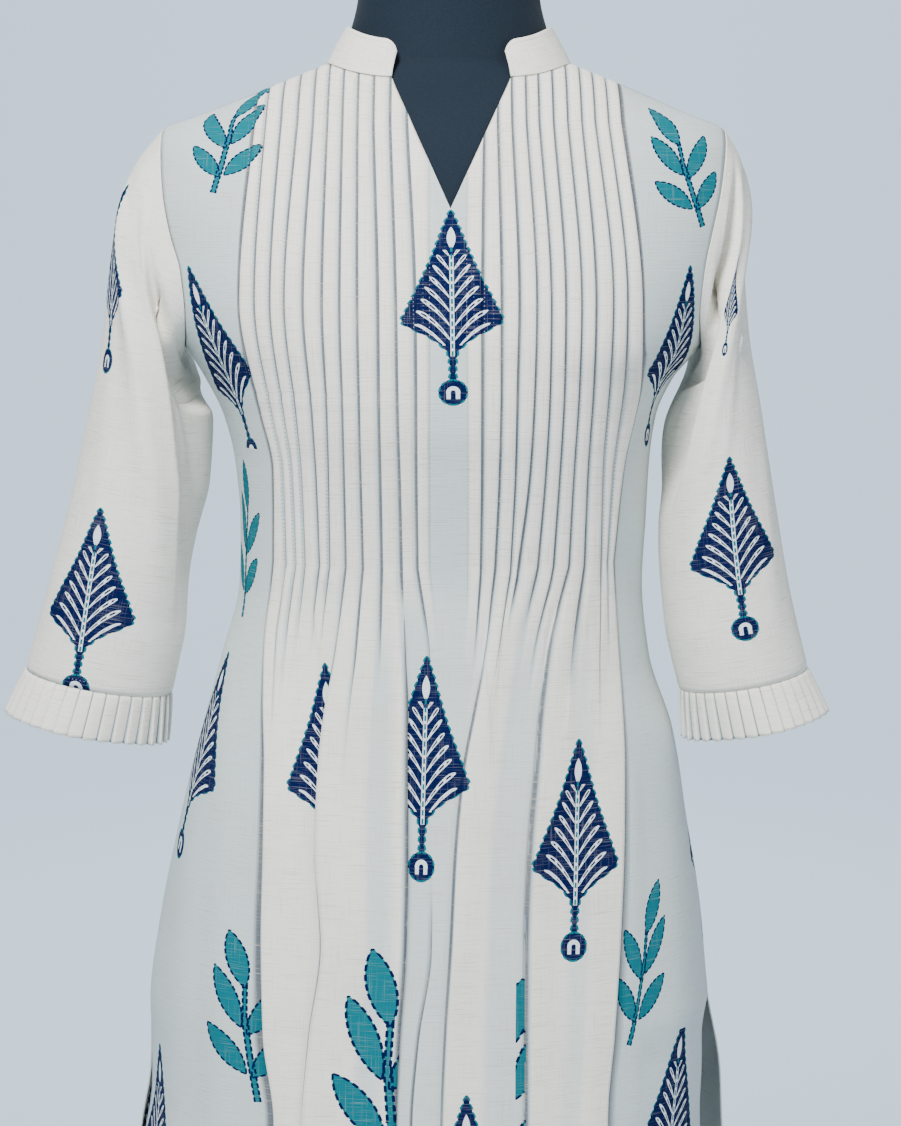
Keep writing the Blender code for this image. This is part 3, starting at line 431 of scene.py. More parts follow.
# Cloth sections: half widths right and left of the centre, depths, roundness
TORSO_COLUMNS = ("drop", "right", "left", "front", "back", "power")
TORSO = (
    (0.000, 0.080, 0.080, 0.060, 0.064, 2.00),
    (0.010, 0.105, 0.105, 0.067, 0.072, 2.00),
    (0.020, 0.130, 0.129, 0.076, 0.079, 2.00),
    (0.032, 0.161, 0.156, 0.086, 0.086, 2.05),
    (0.042, 0.187, 0.180, 0.092, 0.091, 2.10),
    (0.060, 0.199, 0.193, 0.100, 0.097, 2.20),
    (0.090, 0.203, 0.197, 0.110, 0.103, 2.30),
    (0.130, 0.196, 0.190, 0.121, 0.106, 2.30),
    (0.160, 0.186, 0.178, 0.127, 0.105, 2.30),
    (0.185, 0.173, 0.165, 0.130, 0.102, 2.25),
    (0.205, 0.161, 0.148, 0.130, 0.099, 2.20),
    (0.230, 0.149, 0.137, 0.128, 0.095, 2.20),
    (0.260, 0.142, 0.133, 0.121, 0.090, 2.20),
    (0.300, 0.139, 0.131, 0.112, 0.086, 2.20),
    (0.340, 0.140, 0.129, 0.107, 0.086, 2.20),
    (0.389, 0.152, 0.134, 0.109, 0.092, 2.20),
    (0.440, 0.166, 0.150, 0.115, 0.099, 2.20),
    (0.500, 0.181, 0.160, 0.124, 0.107, 2.20),
    (0.560, 0.194, 0.170, 0.131, 0.117, 2.20),
    (0.620, 0.203, 0.176, 0.138, 0.124, 2.20),
    (0.680, 0.206, 0.187, 0.144, 0.129, 2.20),
    (0.720, 0.213, 0.189, 0.147, 0.131, 2.20),
    (0.900, 0.230, 0.206, 0.158, 0.143, 2.20),
    (1.120, 0.250, 0.226, 0.170, 0.155, 2.20),
)

# Armhole seam: distance of the seam from the centre
ARMHOLE_COLUMNS = ("drop", "right", "left")
ARMHOLE = (
    (0.042, 0.1870, 0.1800),
    (0.062, 0.1855, 0.1775),
    (0.085, 0.1830, 0.1735),
    (0.110, 0.1780, 0.1675),
    (0.135, 0.1710, 0.1625),
    (0.160, 0.1690, 0.1605),
    (0.175, 0.1700, 0.1620),
    (0.185, 0.1730, 0.1650),
)

# Side slits: how far the front edge hangs in, and the edges' section angles
SLIT_COLUMNS = ("drop", "right", "left", "front_angle", "back_angle")
SLIT = (
    (0.620, 0.000, 0.000, 90.0, 90.0),
    (0.650, 0.002, 0.010, 84.0, 88.0),
    (0.700, 0.004, 0.017, 82.0, 87.0),
    (0.900, 0.006, 0.019, 81.0, 87.0),
    (1.120, 0.008, 0.020, 81.0, 87.0),
)

# Tuck lines in millimetres from the centre: the first stitch line, then each fold
TUCKS_RIGHT = (
    # drop, places
    (0.040, (12.5, 25.5, 36, 46.5, 56.5, 66, 75.5, 84.5, 94.5, 105, 115, 122)),
    (0.152, (12, 20, 32, 43, 56, 67, 78, 90, 102, 111, 121, 131)),
    (0.220, (12, 19.5, 31, 42.5, 55, 65.5, 75.5, 85, 95.5, 103.5, 111.5, 119)),
    (0.260, (12, 19.5, 30, 42, 54.5, 65, 75, 83, 92.5, 98.5, 104.5, 111)),
    (0.320, (12, 19, 29, 41.5, 53.5, 64.5, 75, 81.5, 91, 97, 103.5, 112)),
)
TUCKS_LEFT = (
    # drop, places
    (0.040, (11.5, 21.5, 30, 39, 48, 56, 65, 74, 83, 91.5, 100, 108.5)),
    (0.152, (11, 20, 32, 43, 54, 63, 72, 82, 91, 102, 111, 121)),
    (0.200, (11.5, 20, 32, 42, 53, 62.5, 71.5, 81, 90, 100.5, 110, 121.5)),
    (0.260, (12, 20, 31, 41, 50, 60, 69, 78, 87, 97, 103.5, 111)),
    (0.320, (12, 19.5, 28.5, 38.5, 43, 55.5, 65.5, 75.5, 85.5, 96.5, 100.5, 105)),
)

# Long pleats of the skirt: the tuck each runs on from, and the way its edge faces
SKIRT_DROPS = (0.320, 0.375, 0.410, 0.447, 0.500, 0.560, 0.620, 0.675, 0.800, 1.120)
SKIRT_FOLDS = (
    # line, facing, place across at each drop, step height at each drop
    (-12, "right",
     (-0.1120, -0.1178, -0.1184, -0.1175, -0.1180, -0.1193, -0.1181, -0.1110, -0.1120, -0.1220),
     (0.0011, 0.0025, 0.0030, 0.0032, 0.0035, 0.0035, 0.0035, 0.0032, 0.0028, 0.0025)),
    (-6, "right",
     (-0.0645, -0.0715, -0.0785, -0.0826, -0.0848, -0.0810, -0.0890, -0.0930, -0.0950, -0.1010),
     (0.0011, 0.0020, 0.0030, 0.0038, 0.0038, 0.0030, 0.0030, 0.0030, 0.0030, 0.0030)),
    (-3, "left",
     (-0.0290, -0.0275, -0.0260, -0.0260, -0.0260, -0.0272, -0.0314, -0.0337, -0.0350, -0.0400),
     (0.0000, 0.0018, 0.0028, 0.0030, 0.0030, 0.0030, 0.0030, 0.0028, 0.0026, 0.0025)),
    (-2, "right",
     (-0.0190, -0.0121, -0.0110, -0.0105, -0.0105, -0.0110, -0.0195, -0.0236, -0.0240, -0.0280),
     (0.0011, 0.0006, 0.0000, 0.0000, 0.0000, 0.0010, 0.0015, 0.0018, 0.0020, 0.0020)),
    (3, "right",
     (0.0285, 0.0222, 0.0160, 0.0090, 0.0038, 0.0008, -0.0031, -0.0051, -0.0060, -0.0080),
     (0.0000, 0.0015, 0.0025, 0.0030, 0.0030, 0.0030, 0.0028, 0.0026, 0.0025, 0.0025)),
    (8, "right",
     (0.0755, 0.0620, 0.0575, 0.0545, 0.0500, 0.0478, 0.0477, 0.0477, 0.0480, 0.0510),
     (0.0000, 0.0025, 0.0033, 0.0037, 0.0040, 0.0040, 0.0038, 0.0036, 0.0034, 0.0032)),
    (12, "left",
     (0.1050, 0.1090, 0.1115, 0.1130, 0.1125, 0.1100, 0.1060, 0.1014, 0.1020, 0.1080),
     (0.0011, 0.0012, 0.0012, 0.0012, 0.0012, 0.0012, 0.0012, 0.0012, 0.0012, 0.0012)),
)

# Short folds where the other tucks let go
SHORT_FOLDS = (
    # facing, first drop, last drop, place at each, height
    ("right", 0.316, 0.460, -0.1034, -0.1150, 0.0013),
    ("right", 0.316, 0.400, -0.0907, -0.0802, 0.0012),
    ("right", 0.316, 0.400, -0.0815, -0.0790, 0.0011),
    ("right", 0.316, 0.400, -0.0750, -0.0730, 0.0010),
    ("right", 0.470, 0.560, -0.0805, -0.0675, 0.0009),
    ("right", 0.315, 0.490, -0.0532, -0.0710, 0.0013),
    ("right", 0.314, 0.390, -0.0417, -0.0290, 0.0012),
    ("right", 0.314, 0.360, -0.0290, -0.0308, 0.0010),
    ("left", 0.314, 0.400, 0.0196, 0.0215, 0.0011),
    ("left", 0.370, 0.470, 0.0226, 0.0300, 0.0009),
    ("left", 0.314, 0.430, 0.0386, 0.0265, 0.0009),
    ("left", 0.315, 0.370, 0.0430, 0.0424, 0.0011),
    ("left", 0.315, 0.375, 0.0558, 0.0430, 0.0012),
    ("left", 0.315, 0.420, 0.0654, 0.0575, 0.0012),
    ("right", 0.317, 0.470, 0.0856, 0.0690, 0.0009),
    ("right", 0.318, 0.450, 0.0969, 0.0895, 0.0011),
    ("left", 0.440, 0.760, 0.1216, 0.1240, 0.0012),
)
SOFT_WAVES = (
    # first drop, last drop, place at each, half width, height
    (0.36, 1.12, -0.1430, -0.1620, 0.0130, 0.0026),
    (0.42, 1.12, -0.1640, -0.2050, 0.0110, 0.0024),
    (0.47, 1.12, -0.0600, -0.0680, 0.0130, 0.0018),
    (0.58, 1.12, -0.1020, -0.1090, 0.0100, 0.0014),
    (0.52, 1.12, 0.0270, 0.0240, 0.0120, 0.0016),
    (0.46, 1.12, 0.0850, 0.0900, 0.0140, 0.0018),
    (0.40, 1.12, 0.1420, 0.1700, 0.0120, 0.0024),
    (0.66, 1.12, -0.0150, -0.0180, 0.0100, 0.0014),
)

# How far below the waist each tuck runs on before it opens
RELEASE = {
    -12: 0.05, -11: 0.12, -10: 0.10, -9: 0.07, -8: 0.07, -7: 0.07,
    -6: 0.10, -5: 0.16, -4: 0.09, -3: 0.05, -2: 0.07,
    2: 0.08, 3: 0.12, 4: 0.10, 5: 0.05, 6: 0.05, 7: 0.09,
    8: 0.12, 9: 0.11, 10: 0.13, 11: 0.07, 12: 0.06,
}
# Two creases across the wearer's right half: their drops, span across, width and depth
ACROSS_CREASES = (0.2086, 0.2212)
ACROSS_SPAN = (-0.135, -0.015)
ACROSS_FADE = 0.02
ACROSS_WIDTH = 0.0014
ACROSS_DEPTH = 0.0006

# How strongly painted shade darkens the cloth in the fold beside a tuck and on a steep slope, where shadow would
# fall
PAINTED_FOLD_SHADE = 2.4
PAINTED_SLOPE_SHADE = 1.5
SLOPE_START = 0.4
SLOPE_REACH = 1.2

# How much of the cloth's own cream shows across each pleat; the rest is one thin layer
PLEAT_TINTS = (
    # shares across the pleat, cream at each
    ((0.0, 0.75, 1.0), (1.0, 1.0, 0.8)),
    ((0.0, 0.50, 0.58, 0.80, 0.86, 1.0), (1.0, 0.9, 0.25, 0.25, 1.0, 1.0)),
    ((0.0, 1.0), (0.10, 0.10)),
    ((0.0, 1.0), (0.15, 0.20)),
    ((0.0, 0.45, 0.55, 0.95, 1.0), (1.0, 0.9, 0.20, 0.20, 0.4)),
    ((0.0, 0.40, 0.48, 0.62, 0.70, 1.0), (1.0, 1.0, 0.45, 0.45, 1.0, 1.0)),
)

# Prints: the kind, its two ends over the cloth, its width and the pleats it shows in
FRONT_PRINTS = (
    # kind, across and down at its first end, at its second end, width, pleats
    ("leaf", (0.0011, 0.0947), (0.0027, 0.2071), 1.14, None),
    ("leaf", (-0.1765, 0.1301), (-0.1463, 0.2487), 0.85, None),
    ("leaf", (0.1612, 0.1295), (0.1650, 0.2400), 0.85, None),
    ("leaf", (-0.1720, 0.3840), (-0.2084, 0.5124), 0.88, (0,)),
    ("leaf", (-0.0806, 0.3819), (-0.0747, 0.5108), 0.88, (1,)),
    ("leaf", (-0.0139, 0.3756), (-0.0176, 0.5084), 0.88, (3, 4, 5)),
    ("leaf", (0.0855, 0.4309), (0.0803, 0.5615), 0.93, (6,)),
    ("leaf", (-0.2232, 0.6450), (-0.2330, 0.7750), 0.88, None),
    ("leaf", (0.0111, 0.6521), (0.0100, 0.7830), 0.88, None),
    ("leaf", (0.1711, 0.6205), (0.1560, 0.7500), 0.88, None),
    ("sprig", (-0.1531, 0.0842), (-0.1300, 0.0130), -1.5, None),
    ("sprig", (0.1693, 0.1054), (0.1360, 0.0300), 1.3, None),
    ("sprig", (-0.1609, 0.3604), (-0.1623, 0.2556), 0.8, (0,)),
    ("sprig", (-0.1263, 0.6644), (-0.1475, 0.5563), 1.2, (0,)),
    ("sprig", (-0.0320, 0.7060), (-0.0486, 0.5603), 1.1, (2,)),
    ("sprig", (0.0330, 0.7150), (0.0475, 0.5795), -1.1, (5.5,)),
    ("sprig", (0.1211, 0.6294), (0.1484, 0.5271), -0.8, (7,)),
    ("leaf", (0.2330, 0.4450), (0.2300, 0.5750), 0.88, (7,)),
    ("leaf", (-0.0850, 0.7650), (-0.0830, 0.8950), 0.88, None),
    ("leaf", (0.0950, 0.7600), (0.0940, 0.8900), 0.88, None),
    ("sprig", (-0.1500, 0.9750), (-0.1700, 0.8650), 1.0, None),
    ("sprig", (0.0250, 0.9700), (0.0050, 0.8600), 1.0, None),
    ("sprig", (0.1750, 0.9600), (0.1950, 0.8500), -1.0, None),
    ("leaf", (-0.0700, 0.9950), (-0.0690, 1.1250), 0.88, None),
    ("leaf", (0.1000, 0.9900), (0.1010, 1.1200), 0.88, None),
    ("leaf", (-0.2350, 0.9600), (-0.2400, 1.0900), 0.88, None),
    ("leaf", (0.2300, 0.9700), (0.2350, 1.1000), 0.88, None),
)


def smooth(stations, values, at):
    """Smooth curve through the stations of a table, without overshoot."""
    stations = np.asarray(stations, dtype=float)
    values = np.asarray(values, dtype=float)
    steps = np.diff(stations)
    slopes = np.diff(values) / steps
    tangents = np.zeros_like(values)
    tangents[0] = slopes[0]
    tangents[-1] = slopes[-1]
    same_way = slopes[:-1] * slopes[1:] > 0.0
    total = np.where(same_way, slopes[:-1] + slopes[1:], 1.0)
    tangents[1:-1] = np.where(same_way, 2.0 * slopes[:-1] * slopes[1:] / total, 0.0)
    at = np.clip(np.asarray(at, dtype=float), stations[0], stations[-1])
    cell = np.clip(np.searchsorted(stations, at) - 1, 0, len(steps) - 1)
    step = steps[cell]
    t = (at - stations[cell]) / step
    start = (1.0 + 2.0 * t) * (1.0 - t) ** 2 * values[cell]
    start_slope = t * (1.0 - t) ** 2 * step * tangents[cell]
    end = t ** 2 * (3.0 - 2.0 * t) * values[cell + 1]
    end_slope = t ** 2 * (t - 1.0) * step * tangents[cell + 1]
    return start + start_slope + end + end_slope


def column(table, names, name, at):
    """Values of one named column of a table at some drops."""
    place = names.index(name)
    return smooth([row[0] for row in table], [row[place] for row in table], at)


def half_width(panel, sign, drop):
    """Distance of the section's side from the centre."""
    width = np.where(sign < 0, column(TORSO, TORSO_COLUMNS, "right", drop),
                     column(TORSO, TORSO_COLUMNS, "left", drop))
    if panel == "front":
        hang = np.where(sign < 0, column(SLIT, SLIT_COLUMNS, "right", drop),
                        column(SLIT, SLIT_COLUMNS, "left", drop))
        width = width - np.where(drop > SLIT_DROP, hang, 0.0)
    return width


def cloth_points(panel, sign, angle, drop):
    """Plain cloth surface at section angles from the centre, 90 at the side."""
    power = column(TORSO, TORSO_COLUMNS, "power", drop)
    depth = column(TORSO, TORSO_COLUMNS, panel, drop)
    turn = np.radians(np.clip(angle, 0.0, 90.0))
    x = sign * half_width(panel, sign, drop) * np.sin(turn) ** (2.0 / power)
    y = depth * np.maximum(np.cos(turn), 0.0) ** (2.0 / power)
    ahead = -1.0 if panel == "front" else 1.0
    return np.stack((x, ahead * y, NECK_POINT_HEIGHT - drop), axis=-1)


def angle_at(panel, sign, distance, drop):
    """Section angle of a point at a distance from the centre."""
    power = column(TORSO, TORSO_COLUMNS, "power", drop)
    share = np.clip(distance / half_width(panel, sign, drop), 0.0, 1.0)
    return np.degrees(np.arcsin(share ** (power / 2.0)))


def armhole_distance(sign, drop):
    """Distance of the armhole seam from the centre."""
    right = column(ARMHOLE, ARMHOLE_COLUMNS, "right", drop)
    return np.where(sign < 0, right, column(ARMHOLE, ARMHOLE_COLUMNS, "left", drop))


def edge_angle(panel, sign, drop):
    """Section angle of a panel's side edge: armhole, side seam, then slit."""
    at_armhole = angle_at(panel, sign, armhole_distance(sign, drop), drop)
    at_slit = column(SLIT, SLIT_COLUMNS, panel + "_angle", drop)
    return np.where(drop < UNDERARM_DROP, at_armhole, np.where(drop > SLIT_DROP, at_slit, 90.0))


def shoulder_drop(sign, distance):
    """Drop of the shoulder seam at a distance from the centre."""
    low, high = np.zeros_like(distance), np.full_like(distance, SHOULDER_DROP)
    for _ in range(30):
        middle = 0.5 * (low + high)
        short = half_width("back", sign, middle) < distance
        low, high = np.where(short, middle, low), np.where(short, high, middle)
    return 0.5 * (low + high)


def top_drop(panel, sign, distance):
    """Drop of a panel's top edge: neckline, collar seam or shoulder seam."""
    at_shoulder = shoulder_drop(sign, distance)
    if panel == "back":
        neck = BACK_NECK_DROP * (1.0 - (distance / NECK_HALF_WIDTH) ** 2)
        return np.where(distance >= NECK_HALF_WIDTH, at_shoulder, neck)
    collar_end = np.where(sign < 0, COLLAR_END_RIGHT, COLLAR_END_LEFT)
    share = np.clip((distance - collar_end) / (NECK_HALF_WIDTH - collar_end), 0.0, 1.0)
    under_collar = COLLAR_END_DROP * (1.0 - share ** 2)
    shift = np.where(sign < 0, -V_SHIFT, V_SHIFT)
    share = np.abs(distance - shift) / (collar_end - shift)
    neck_v = V_DROP - (V_DROP - COLLAR_END_DROP) * share
    at_neck = np.where(distance >= collar_end, under_collar, neck_v)
    return np.where(distance >= NECK_HALF_WIDTH, at_shoulder, at_neck)


def line_places(drop):
    """Signed places of the 25 tuck and fold lines at some drops."""
    places = {0: np.where(drop < V_DROP, V_SHIFT, 0.0)}
    waist = {0: 0.0}
    for sign, table in ((-1, TUCKS_RIGHT), (1, TUCKS_LEFT)):
        stations = [row[0] for row in table]
        for number in range(1, 13):
            values = [0.001 * sign * row[1][number - 1] for row in table]
            places[sign * number] = smooth(stations, values, np.minimum(drop, WAIST_DROP))
            waist[sign * number] = values[-1]
    keys = [fold[0] for fold in SKIRT_FOLDS]
    spots = {fold[0]: smooth(SKIRT_DROPS, fold[2], drop) for fold in SKIRT_FOLDS}
    for number in places:
        cell = int(np.clip(np.searchsorted(keys, number, side="right") - 1, 0, len(keys) - 2))
        low, high = keys[cell], keys[cell + 1]
        share = (waist[number] - waist[low]) / (waist[high] - waist[low])
        released = spots[low] * (1.0 - share) + spots[high] * share
        places[number] = np.where(drop > WAIST_DROP, released, places[number])
    return places


def front_columns():
    """Columns of the front from right to left: line, next line, share, offset, relief."""
    halves = []
    for sign in (-1, 1):
        half = [(sign, sign * 0, sign * 1, share, 0.0, 0.0) for share in (0.35, 0.70, 0.93)]
        half.append((sign, sign * 1, sign * 1, 0.0, 0.0, -0.15))
        for number in range(2, 13):
            back = number - 1
            start = 0.0 if number == 2 else 0.24
            for share, relief in ((0.10, 0.55), (0.34, 0.92), (0.72, 1.00), (0.955, 0.90)):
                half.append((sign, sign * back, sign * number, start + (1.0 - start) * share, 0.0, relief))
            half.append((sign, sign * number, sign * number, 0.0, 0.0, 0.55))
            half.append((sign, sign * number, sign * number, 0.0, sign * 0.0003, 0.0))
            if number < 12:
                half.append((sign, sign * number, sign * (number + 1), 0.22, 0.0, -0.10))
        sides = [(k + 1) / 20.0 for k in range(20)]
        half += [(sign, None, None, share, 0.0, 0.0) for share in sides]
        halves.append(half)
    return halves[0][::-1] + [(1, 0, 0, 0.0, 0.0, 0.0)] + halves[1]


def front_places(columns, drop):
    """Sign, angle and place across of every column at a grid of drops."""
    lines = line_places(drop)
    sign = np.zeros_like(drop)
    x = np.zeros_like(drop)
    angle = np.zeros_like(drop)
    for col, (side, first, second, share, offset, _) in enumerate(columns):
        here = drop[:, col]
        if first is not None:
            start, end = lines[first][:, col], lines[second][:, col]
            x[:, col] = start + share * (end - start) + offset
            sign[:, col] = np.where(x[:, col] < 0.0, -1.0, 1.0)
            angle[:, col] = angle_at("front", sign[:, col], np.abs(x[:, col]), here)
            continue
        sign[:, col] = side
        outer_line = np.abs(lines[side * 12][:, col]) + 0.0003
        start = angle_at("front", sign[:, col], outer_line, here)
        end = edge_angle("front", sign[:, col], here)
        reach = np.where(here < UNDERARM_DROP, armhole_distance(sign[:, col], here),
                         half_width("front", sign[:, col], here))
        by_width = angle_at("front", sign[:, col], outer_line + share * (reach - outer_line), here)
        by_angle = start + share * (end - start)
        blend = np.clip((here - 0.060) / 0.080, 0.0, 1.0)
        angle[:, col] = end if share == 1.0 else by_width + blend * (by_angle - by_width)
        x[:, col] = cloth_points("front", sign[:, col], angle[:, col], here)[:, 0]
    return sign, angle, x


def column_tops(columns):
    """Drop where each column of the front starts."""
    drop = np.full((1, len(columns)), SHOULDER_DROP)
    for _ in range(30):
        sign, angle, x = front_places(columns, np.maximum(drop, 0.001))
        distance = np.abs(x)
        lines = line_places(drop)
        for col, (side, first, _, share, _, _) in enumerate(columns):
            if first is None:
                outer_line = abs(float(lines[side * 12][0, col])) + 0.0003
                tip = float(armhole_distance(np.array([float(side)]), drop[0, col:col + 1])[0])
                distance[0, col] = outer_line + share * (tip - outer_line)
        drop = 0.5 * drop + 0.5 * top_drop("front", sign, distance)
    return drop[0]


def upper_rows(tops, cells):
    """Rows of drops from the top edge to the underarm, closer at both ends."""
    share = np.linspace(0.0, 1.0, cells + 1)
    share = 0.65 * share + 0.35 * 0.5 * (1.0 - np.cos(np.pi * share))
    return tops[None, :] + (UNDERARM_DROP - tops[None, :]) * share[:, None]


def cloth_normals(panel, points, sign, drop):
    """Outward directions of the plain cloth surface at points on it."""
    nudge = 0.0002
    x, y = np.abs(points[..., 0]), np.abs(points[..., 1])

    def level(beside, ahead, lower):
        width = half_width(panel, sign, lower)
        deep = column(TORSO, TORSO_COLUMNS, panel, lower)
        round_power = column(TORSO, TORSO_COLUMNS, "power", lower)
        return (beside / width) ** round_power + (ahead / deep) ** round_power

    here = level(x, y, drop)
    low = np.maximum(drop, nudge)
    across = (level(x + nudge, y, drop) - here) * sign
    deeper = (level(x, y + nudge, drop) - here) * (-1.0 if panel == "front" else 1.0)
    down = level(x, y, low + nudge) - level(x, y, low - nudge)
    normals = np.stack((across, deeper, -0.5 * down), axis=-1)
    return normals / np.linalg.norm(normals, axis=-1, keepdims=True)


def eased(value):
    """Smooth step from 0 to 1."""
    value = np.clip(value, 0.0, 1.0)
    return value * value * (3.0 - 2.0 * value)


def skirt_relief(x, drop):
    """Height of the pleats below the waist at places across and drops."""
    height = np.zeros_like(x)
    for _, facing, spots, steps in SKIRT_FOLDS:
        away = (x - smooth(SKIRT_DROPS, spots, drop)) * (1.0 if facing == "right" else -1.0)
        step = 1.35 * smooth(SKIRT_DROPS, steps, drop) * eased((drop - WAIST_DROP) / 0.050)
        height += step * np.clip(away / 0.0006 + 0.5, 0.0, 1.0) * (1.0 - eased(away / 0.030))
    for facing, first, last, start, end, rise in SHORT_FOLDS:
        share = (drop - first) / (last - first)
        away = (x - (start + (end - start) * np.clip(share, 0.0, 1.0))) * (1.0 if facing == "right" else -1.0)
        fade = eased(share / 0.15) * (1.0 - eased((share - 0.55) / 0.45))
        height += rise * fade * np.clip(away / 0.0016 + 0.5, 0.0, 1.0) * (1.0 - eased(away / 0.011))
    for first, last, start, end, spread, rise in SOFT_WAVES:
        share = np.clip((drop - first) / (last - first), 0.0, 1.0)
        away = (x - (start + (end - start) * share)) / spread
        height += rise * eased((drop - first) / 0.08) * np.exp(-away ** 2)
    return height


def own_print_places(over, under, middle_over, middle_under, prints, pleats):
    """Kind and own coordinates of the print nearest to each face."""
    best = np.full(len(over), 1e9)
    kind = np.zeros(len(over))
    across, down = np.zeros_like(over), np.zeros_like(over)
    for name, start, end, wide, shown in prints:
        own = (0.0, LEAF_LENGTH) if name == "leaf" else (wide * SPRIG_TOP[0], SPRIG_TOP[1])
        run, fall = end[0] - start[0], end[1] - start[1]
        turn = math.atan2(fall, run) - math.atan2(own[1], own[0])
        scale = math.hypot(run, fall) / math.hypot(*own)
        away = np.hypot(middle_over - start[0] - 0.5 * run, middle_under - start[1] - 0.5 * fall)
        near = away < best
        if shown is not None:
            near &= np.isin(pleats, shown)
        best = np.where(near, away, best)
        kind = np.where(near, 1 if name == "leaf" else 2, kind)
        beside, below_it = over - start[0], under - start[1]
        turned_across = (beside * math.cos(turn) + below_it * math.sin(turn)) / (scale * wide)
        turned_down = (below_it * math.cos(turn) - beside * math.sin(turn)) / scale
        across = np.where(near[:, None], turned_across, across)
        down = np.where(near[:, None], turned_down, down)
    return kind, across, down


def cut_piece(name, points, over, under, layers_and_painted_shade, prints, pleats, stitches, round_about=False):
    """Sheet of cotton from a grid of points, with the places its print and stitches use."""
    rows, cols = points.shape[:2]
    spans = cols if round_about else cols - 1
    row, col = np.meshgrid(np.arange(rows - 1), np.arange(spans), indexing="ij")
    here, beside = col, (col + 1) % cols

    def corners(values, far):
        picked = (values[row, here], values[row + 1, here], values[row + 1, far], values[row, far])
        return np.stack(picked, axis=-1).reshape(-1, 4)

    far_over = col + 1 if over.shape[1] > cols else beside
    quads = corners(np.arange(rows * cols).reshape(rows, cols), beside)
    corner_over, corner_under = corners(over, far_over), corners(under, beside)
    mesh = bpy.data.meshes.new(name)
    mesh.from_pydata(points.reshape(-1, 3).tolist(), [], quads.tolist())
    cloth = mesh.uv_layers.new(name="cloth")
    cloth.data.foreach_set("uv", np.stack((corner_over, corner_under), axis=-1).reshape(-1))
    middle_over, middle_under = corner_over.mean(axis=1), corner_under.mean(axis=1)
    pleat = pleats[row, here].reshape(-1)
    kind, across, down = own_print_places(corner_over, corner_under, middle_over, middle_under, prints, pleat)
    print_map = mesh.uv_layers.new(name="print")
    print_map.data.foreach_set("uv", np.stack((across, down), axis=-1).reshape(-1))
    stitch_map = mesh.uv_layers.new(name="stitch")
    off, along = (corners(values, beside) for values in stitches)
    stitch_map.data.foreach_set("uv", np.stack((off, along), axis=-1).reshape(-1))
    # The attribute holds the cream of stacked layers and, below zero, painted shade at folds
    cream = mesh.attributes.new("layers_and_painted_shade", "FLOAT", "POINT")
    cream.data.foreach_set("value", layers_and_painted_shade.reshape(-1))
    for finish in COTTONS:
        mesh.materials.append(finish)
    off_print = (np.abs(across).min(axis=1) > PRINT_REACH) | (down.min(axis=1) > LEAF_LENGTH + 0.012)
    off_print |= down.max(axis=1) < -LEAF_LENGTH
    mesh.polygons.foreach_set("material_index", np.where(off_print, 0, kind).astype(int))
    mesh.shade_smooth()
    piece = bpy.data.objects.new(name, mesh)
    bpy.context.scene.collection.objects.link(piece)
    return piece


def turn_outwards(piece, flat_centre=False):
    """Make every face of a sheet look away from the tube or body it goes round."""
    work = bmesh.new()
    work.from_mesh(piece.data)
    centre = np.mean([vertex.co[:] for vertex in work.verts], axis=0)
    total = 0.0
    for face in work.faces:
        away = np.array(face.calc_center_median()) - centre
        if flat_centre:
            away[2] = 0.0
        total += float(np.dot(face.normal, away)) * face.calc_area()
    if total < 0.0:
        bmesh.ops.reverse_faces(work, faces=work.faces)
    work.to_mesh(piece.data)
    work.free()


def thicken(piece, wall):
    """Give a sheet its wall on the inside."""
    bpy.context.view_layer.objects.active = piece
    solid = piece.modifiers.new("wall", "SOLIDIFY")
    solid.thickness = wall
    solid.offset = -1.0
    bpy.ops.object.modifier_apply(modifier=solid.name)


def soften_edges(piece, radius):
    """Round the rims of a sheet that is folded over at its edges."""
    bpy.context.view_layer.objects.active = piece
    rounding = piece.modifiers.new("rounding", "BEVEL")
    rounding.width = radius
    rounding.segments = 3
    rounding.limit_method = "ANGLE"
    rounding.angle_limit = math.radians(60.0)
    bpy.ops.object.modifier_apply(modifier=rounding.name)


def hang(piece, node, width, length, rests_on, held="hung", area=None):
    """Attach a cut piece to the root and hide the part it replaces; its flat size and what holds it are not used.
    """
    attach(piece, "root")
    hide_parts(node)


def across_cloth(panel, sign, angle, drop):
    """Length over the cloth at one level, from the centre to each point."""
    length = np.zeros_like(drop)
    last = cloth_points(panel, sign, np.zeros_like(angle), drop)
    for step in range(1, 25):
        here = cloth_points(panel, sign, angle * step / 24.0, drop)
        length += np.linalg.norm(here - last, axis=-1)
        last = here
    return sign * length


columns = front_columns()
tops = column_tops(columns)
lower_drops = np.concatenate((np.linspace(UNDERARM_DROP, WAIST_DROP, 40)[1:],
                              np.linspace(WAIST_DROP, 0.46, 38)[1:],
                              np.linspace(0.46, 0.74, 58)[1:],
                              np.linspace(0.74, KURTA_LENGTH, 22)[1:]))
drops = np.concatenate((upper_rows(tops, 58), np.repeat(lower_drops[:, None], len(columns), axis=1)))
sign, angle, across = front_places(columns, drops)
plain = cloth_points("front", sign, angle, drops)
over = across_cloth("front", sign, angle, drops)
below = drops > WAIST_DROP
heights = np.array([entry[5] for entry in columns])[None, :]
let_go = np.array([RELEASE.get(entry[2] or entry[0] * 12, 0.05) for entry in columns])[None, :]
opening = eased((drops - WAIST_DROP + 0.004) / let_go)
relief = heights * TUCK_HEIGHT * (1.0 - opening) * np.clip((drops - tops[None, :]) / 0.004, 0.0, 1.0)
spanned = eased((ACROSS_SPAN[1] - plain[..., 0]) / ACROSS_FADE)
spanned *= eased((plain[..., 0] - ACROSS_SPAN[0]) / ACROSS_FADE)
for level in ACROSS_CREASES:
    relief -= ACROSS_DEPTH * np.exp(-((drops - level) / ACROSS_WIDTH) ** 2) * spanned
near_side = np.maximum(eased((90.0 - angle) / 12.0), 0.25)
relief += np.where(below, skirt_relief(plain[..., 0], drops) * near_side, 0.0)
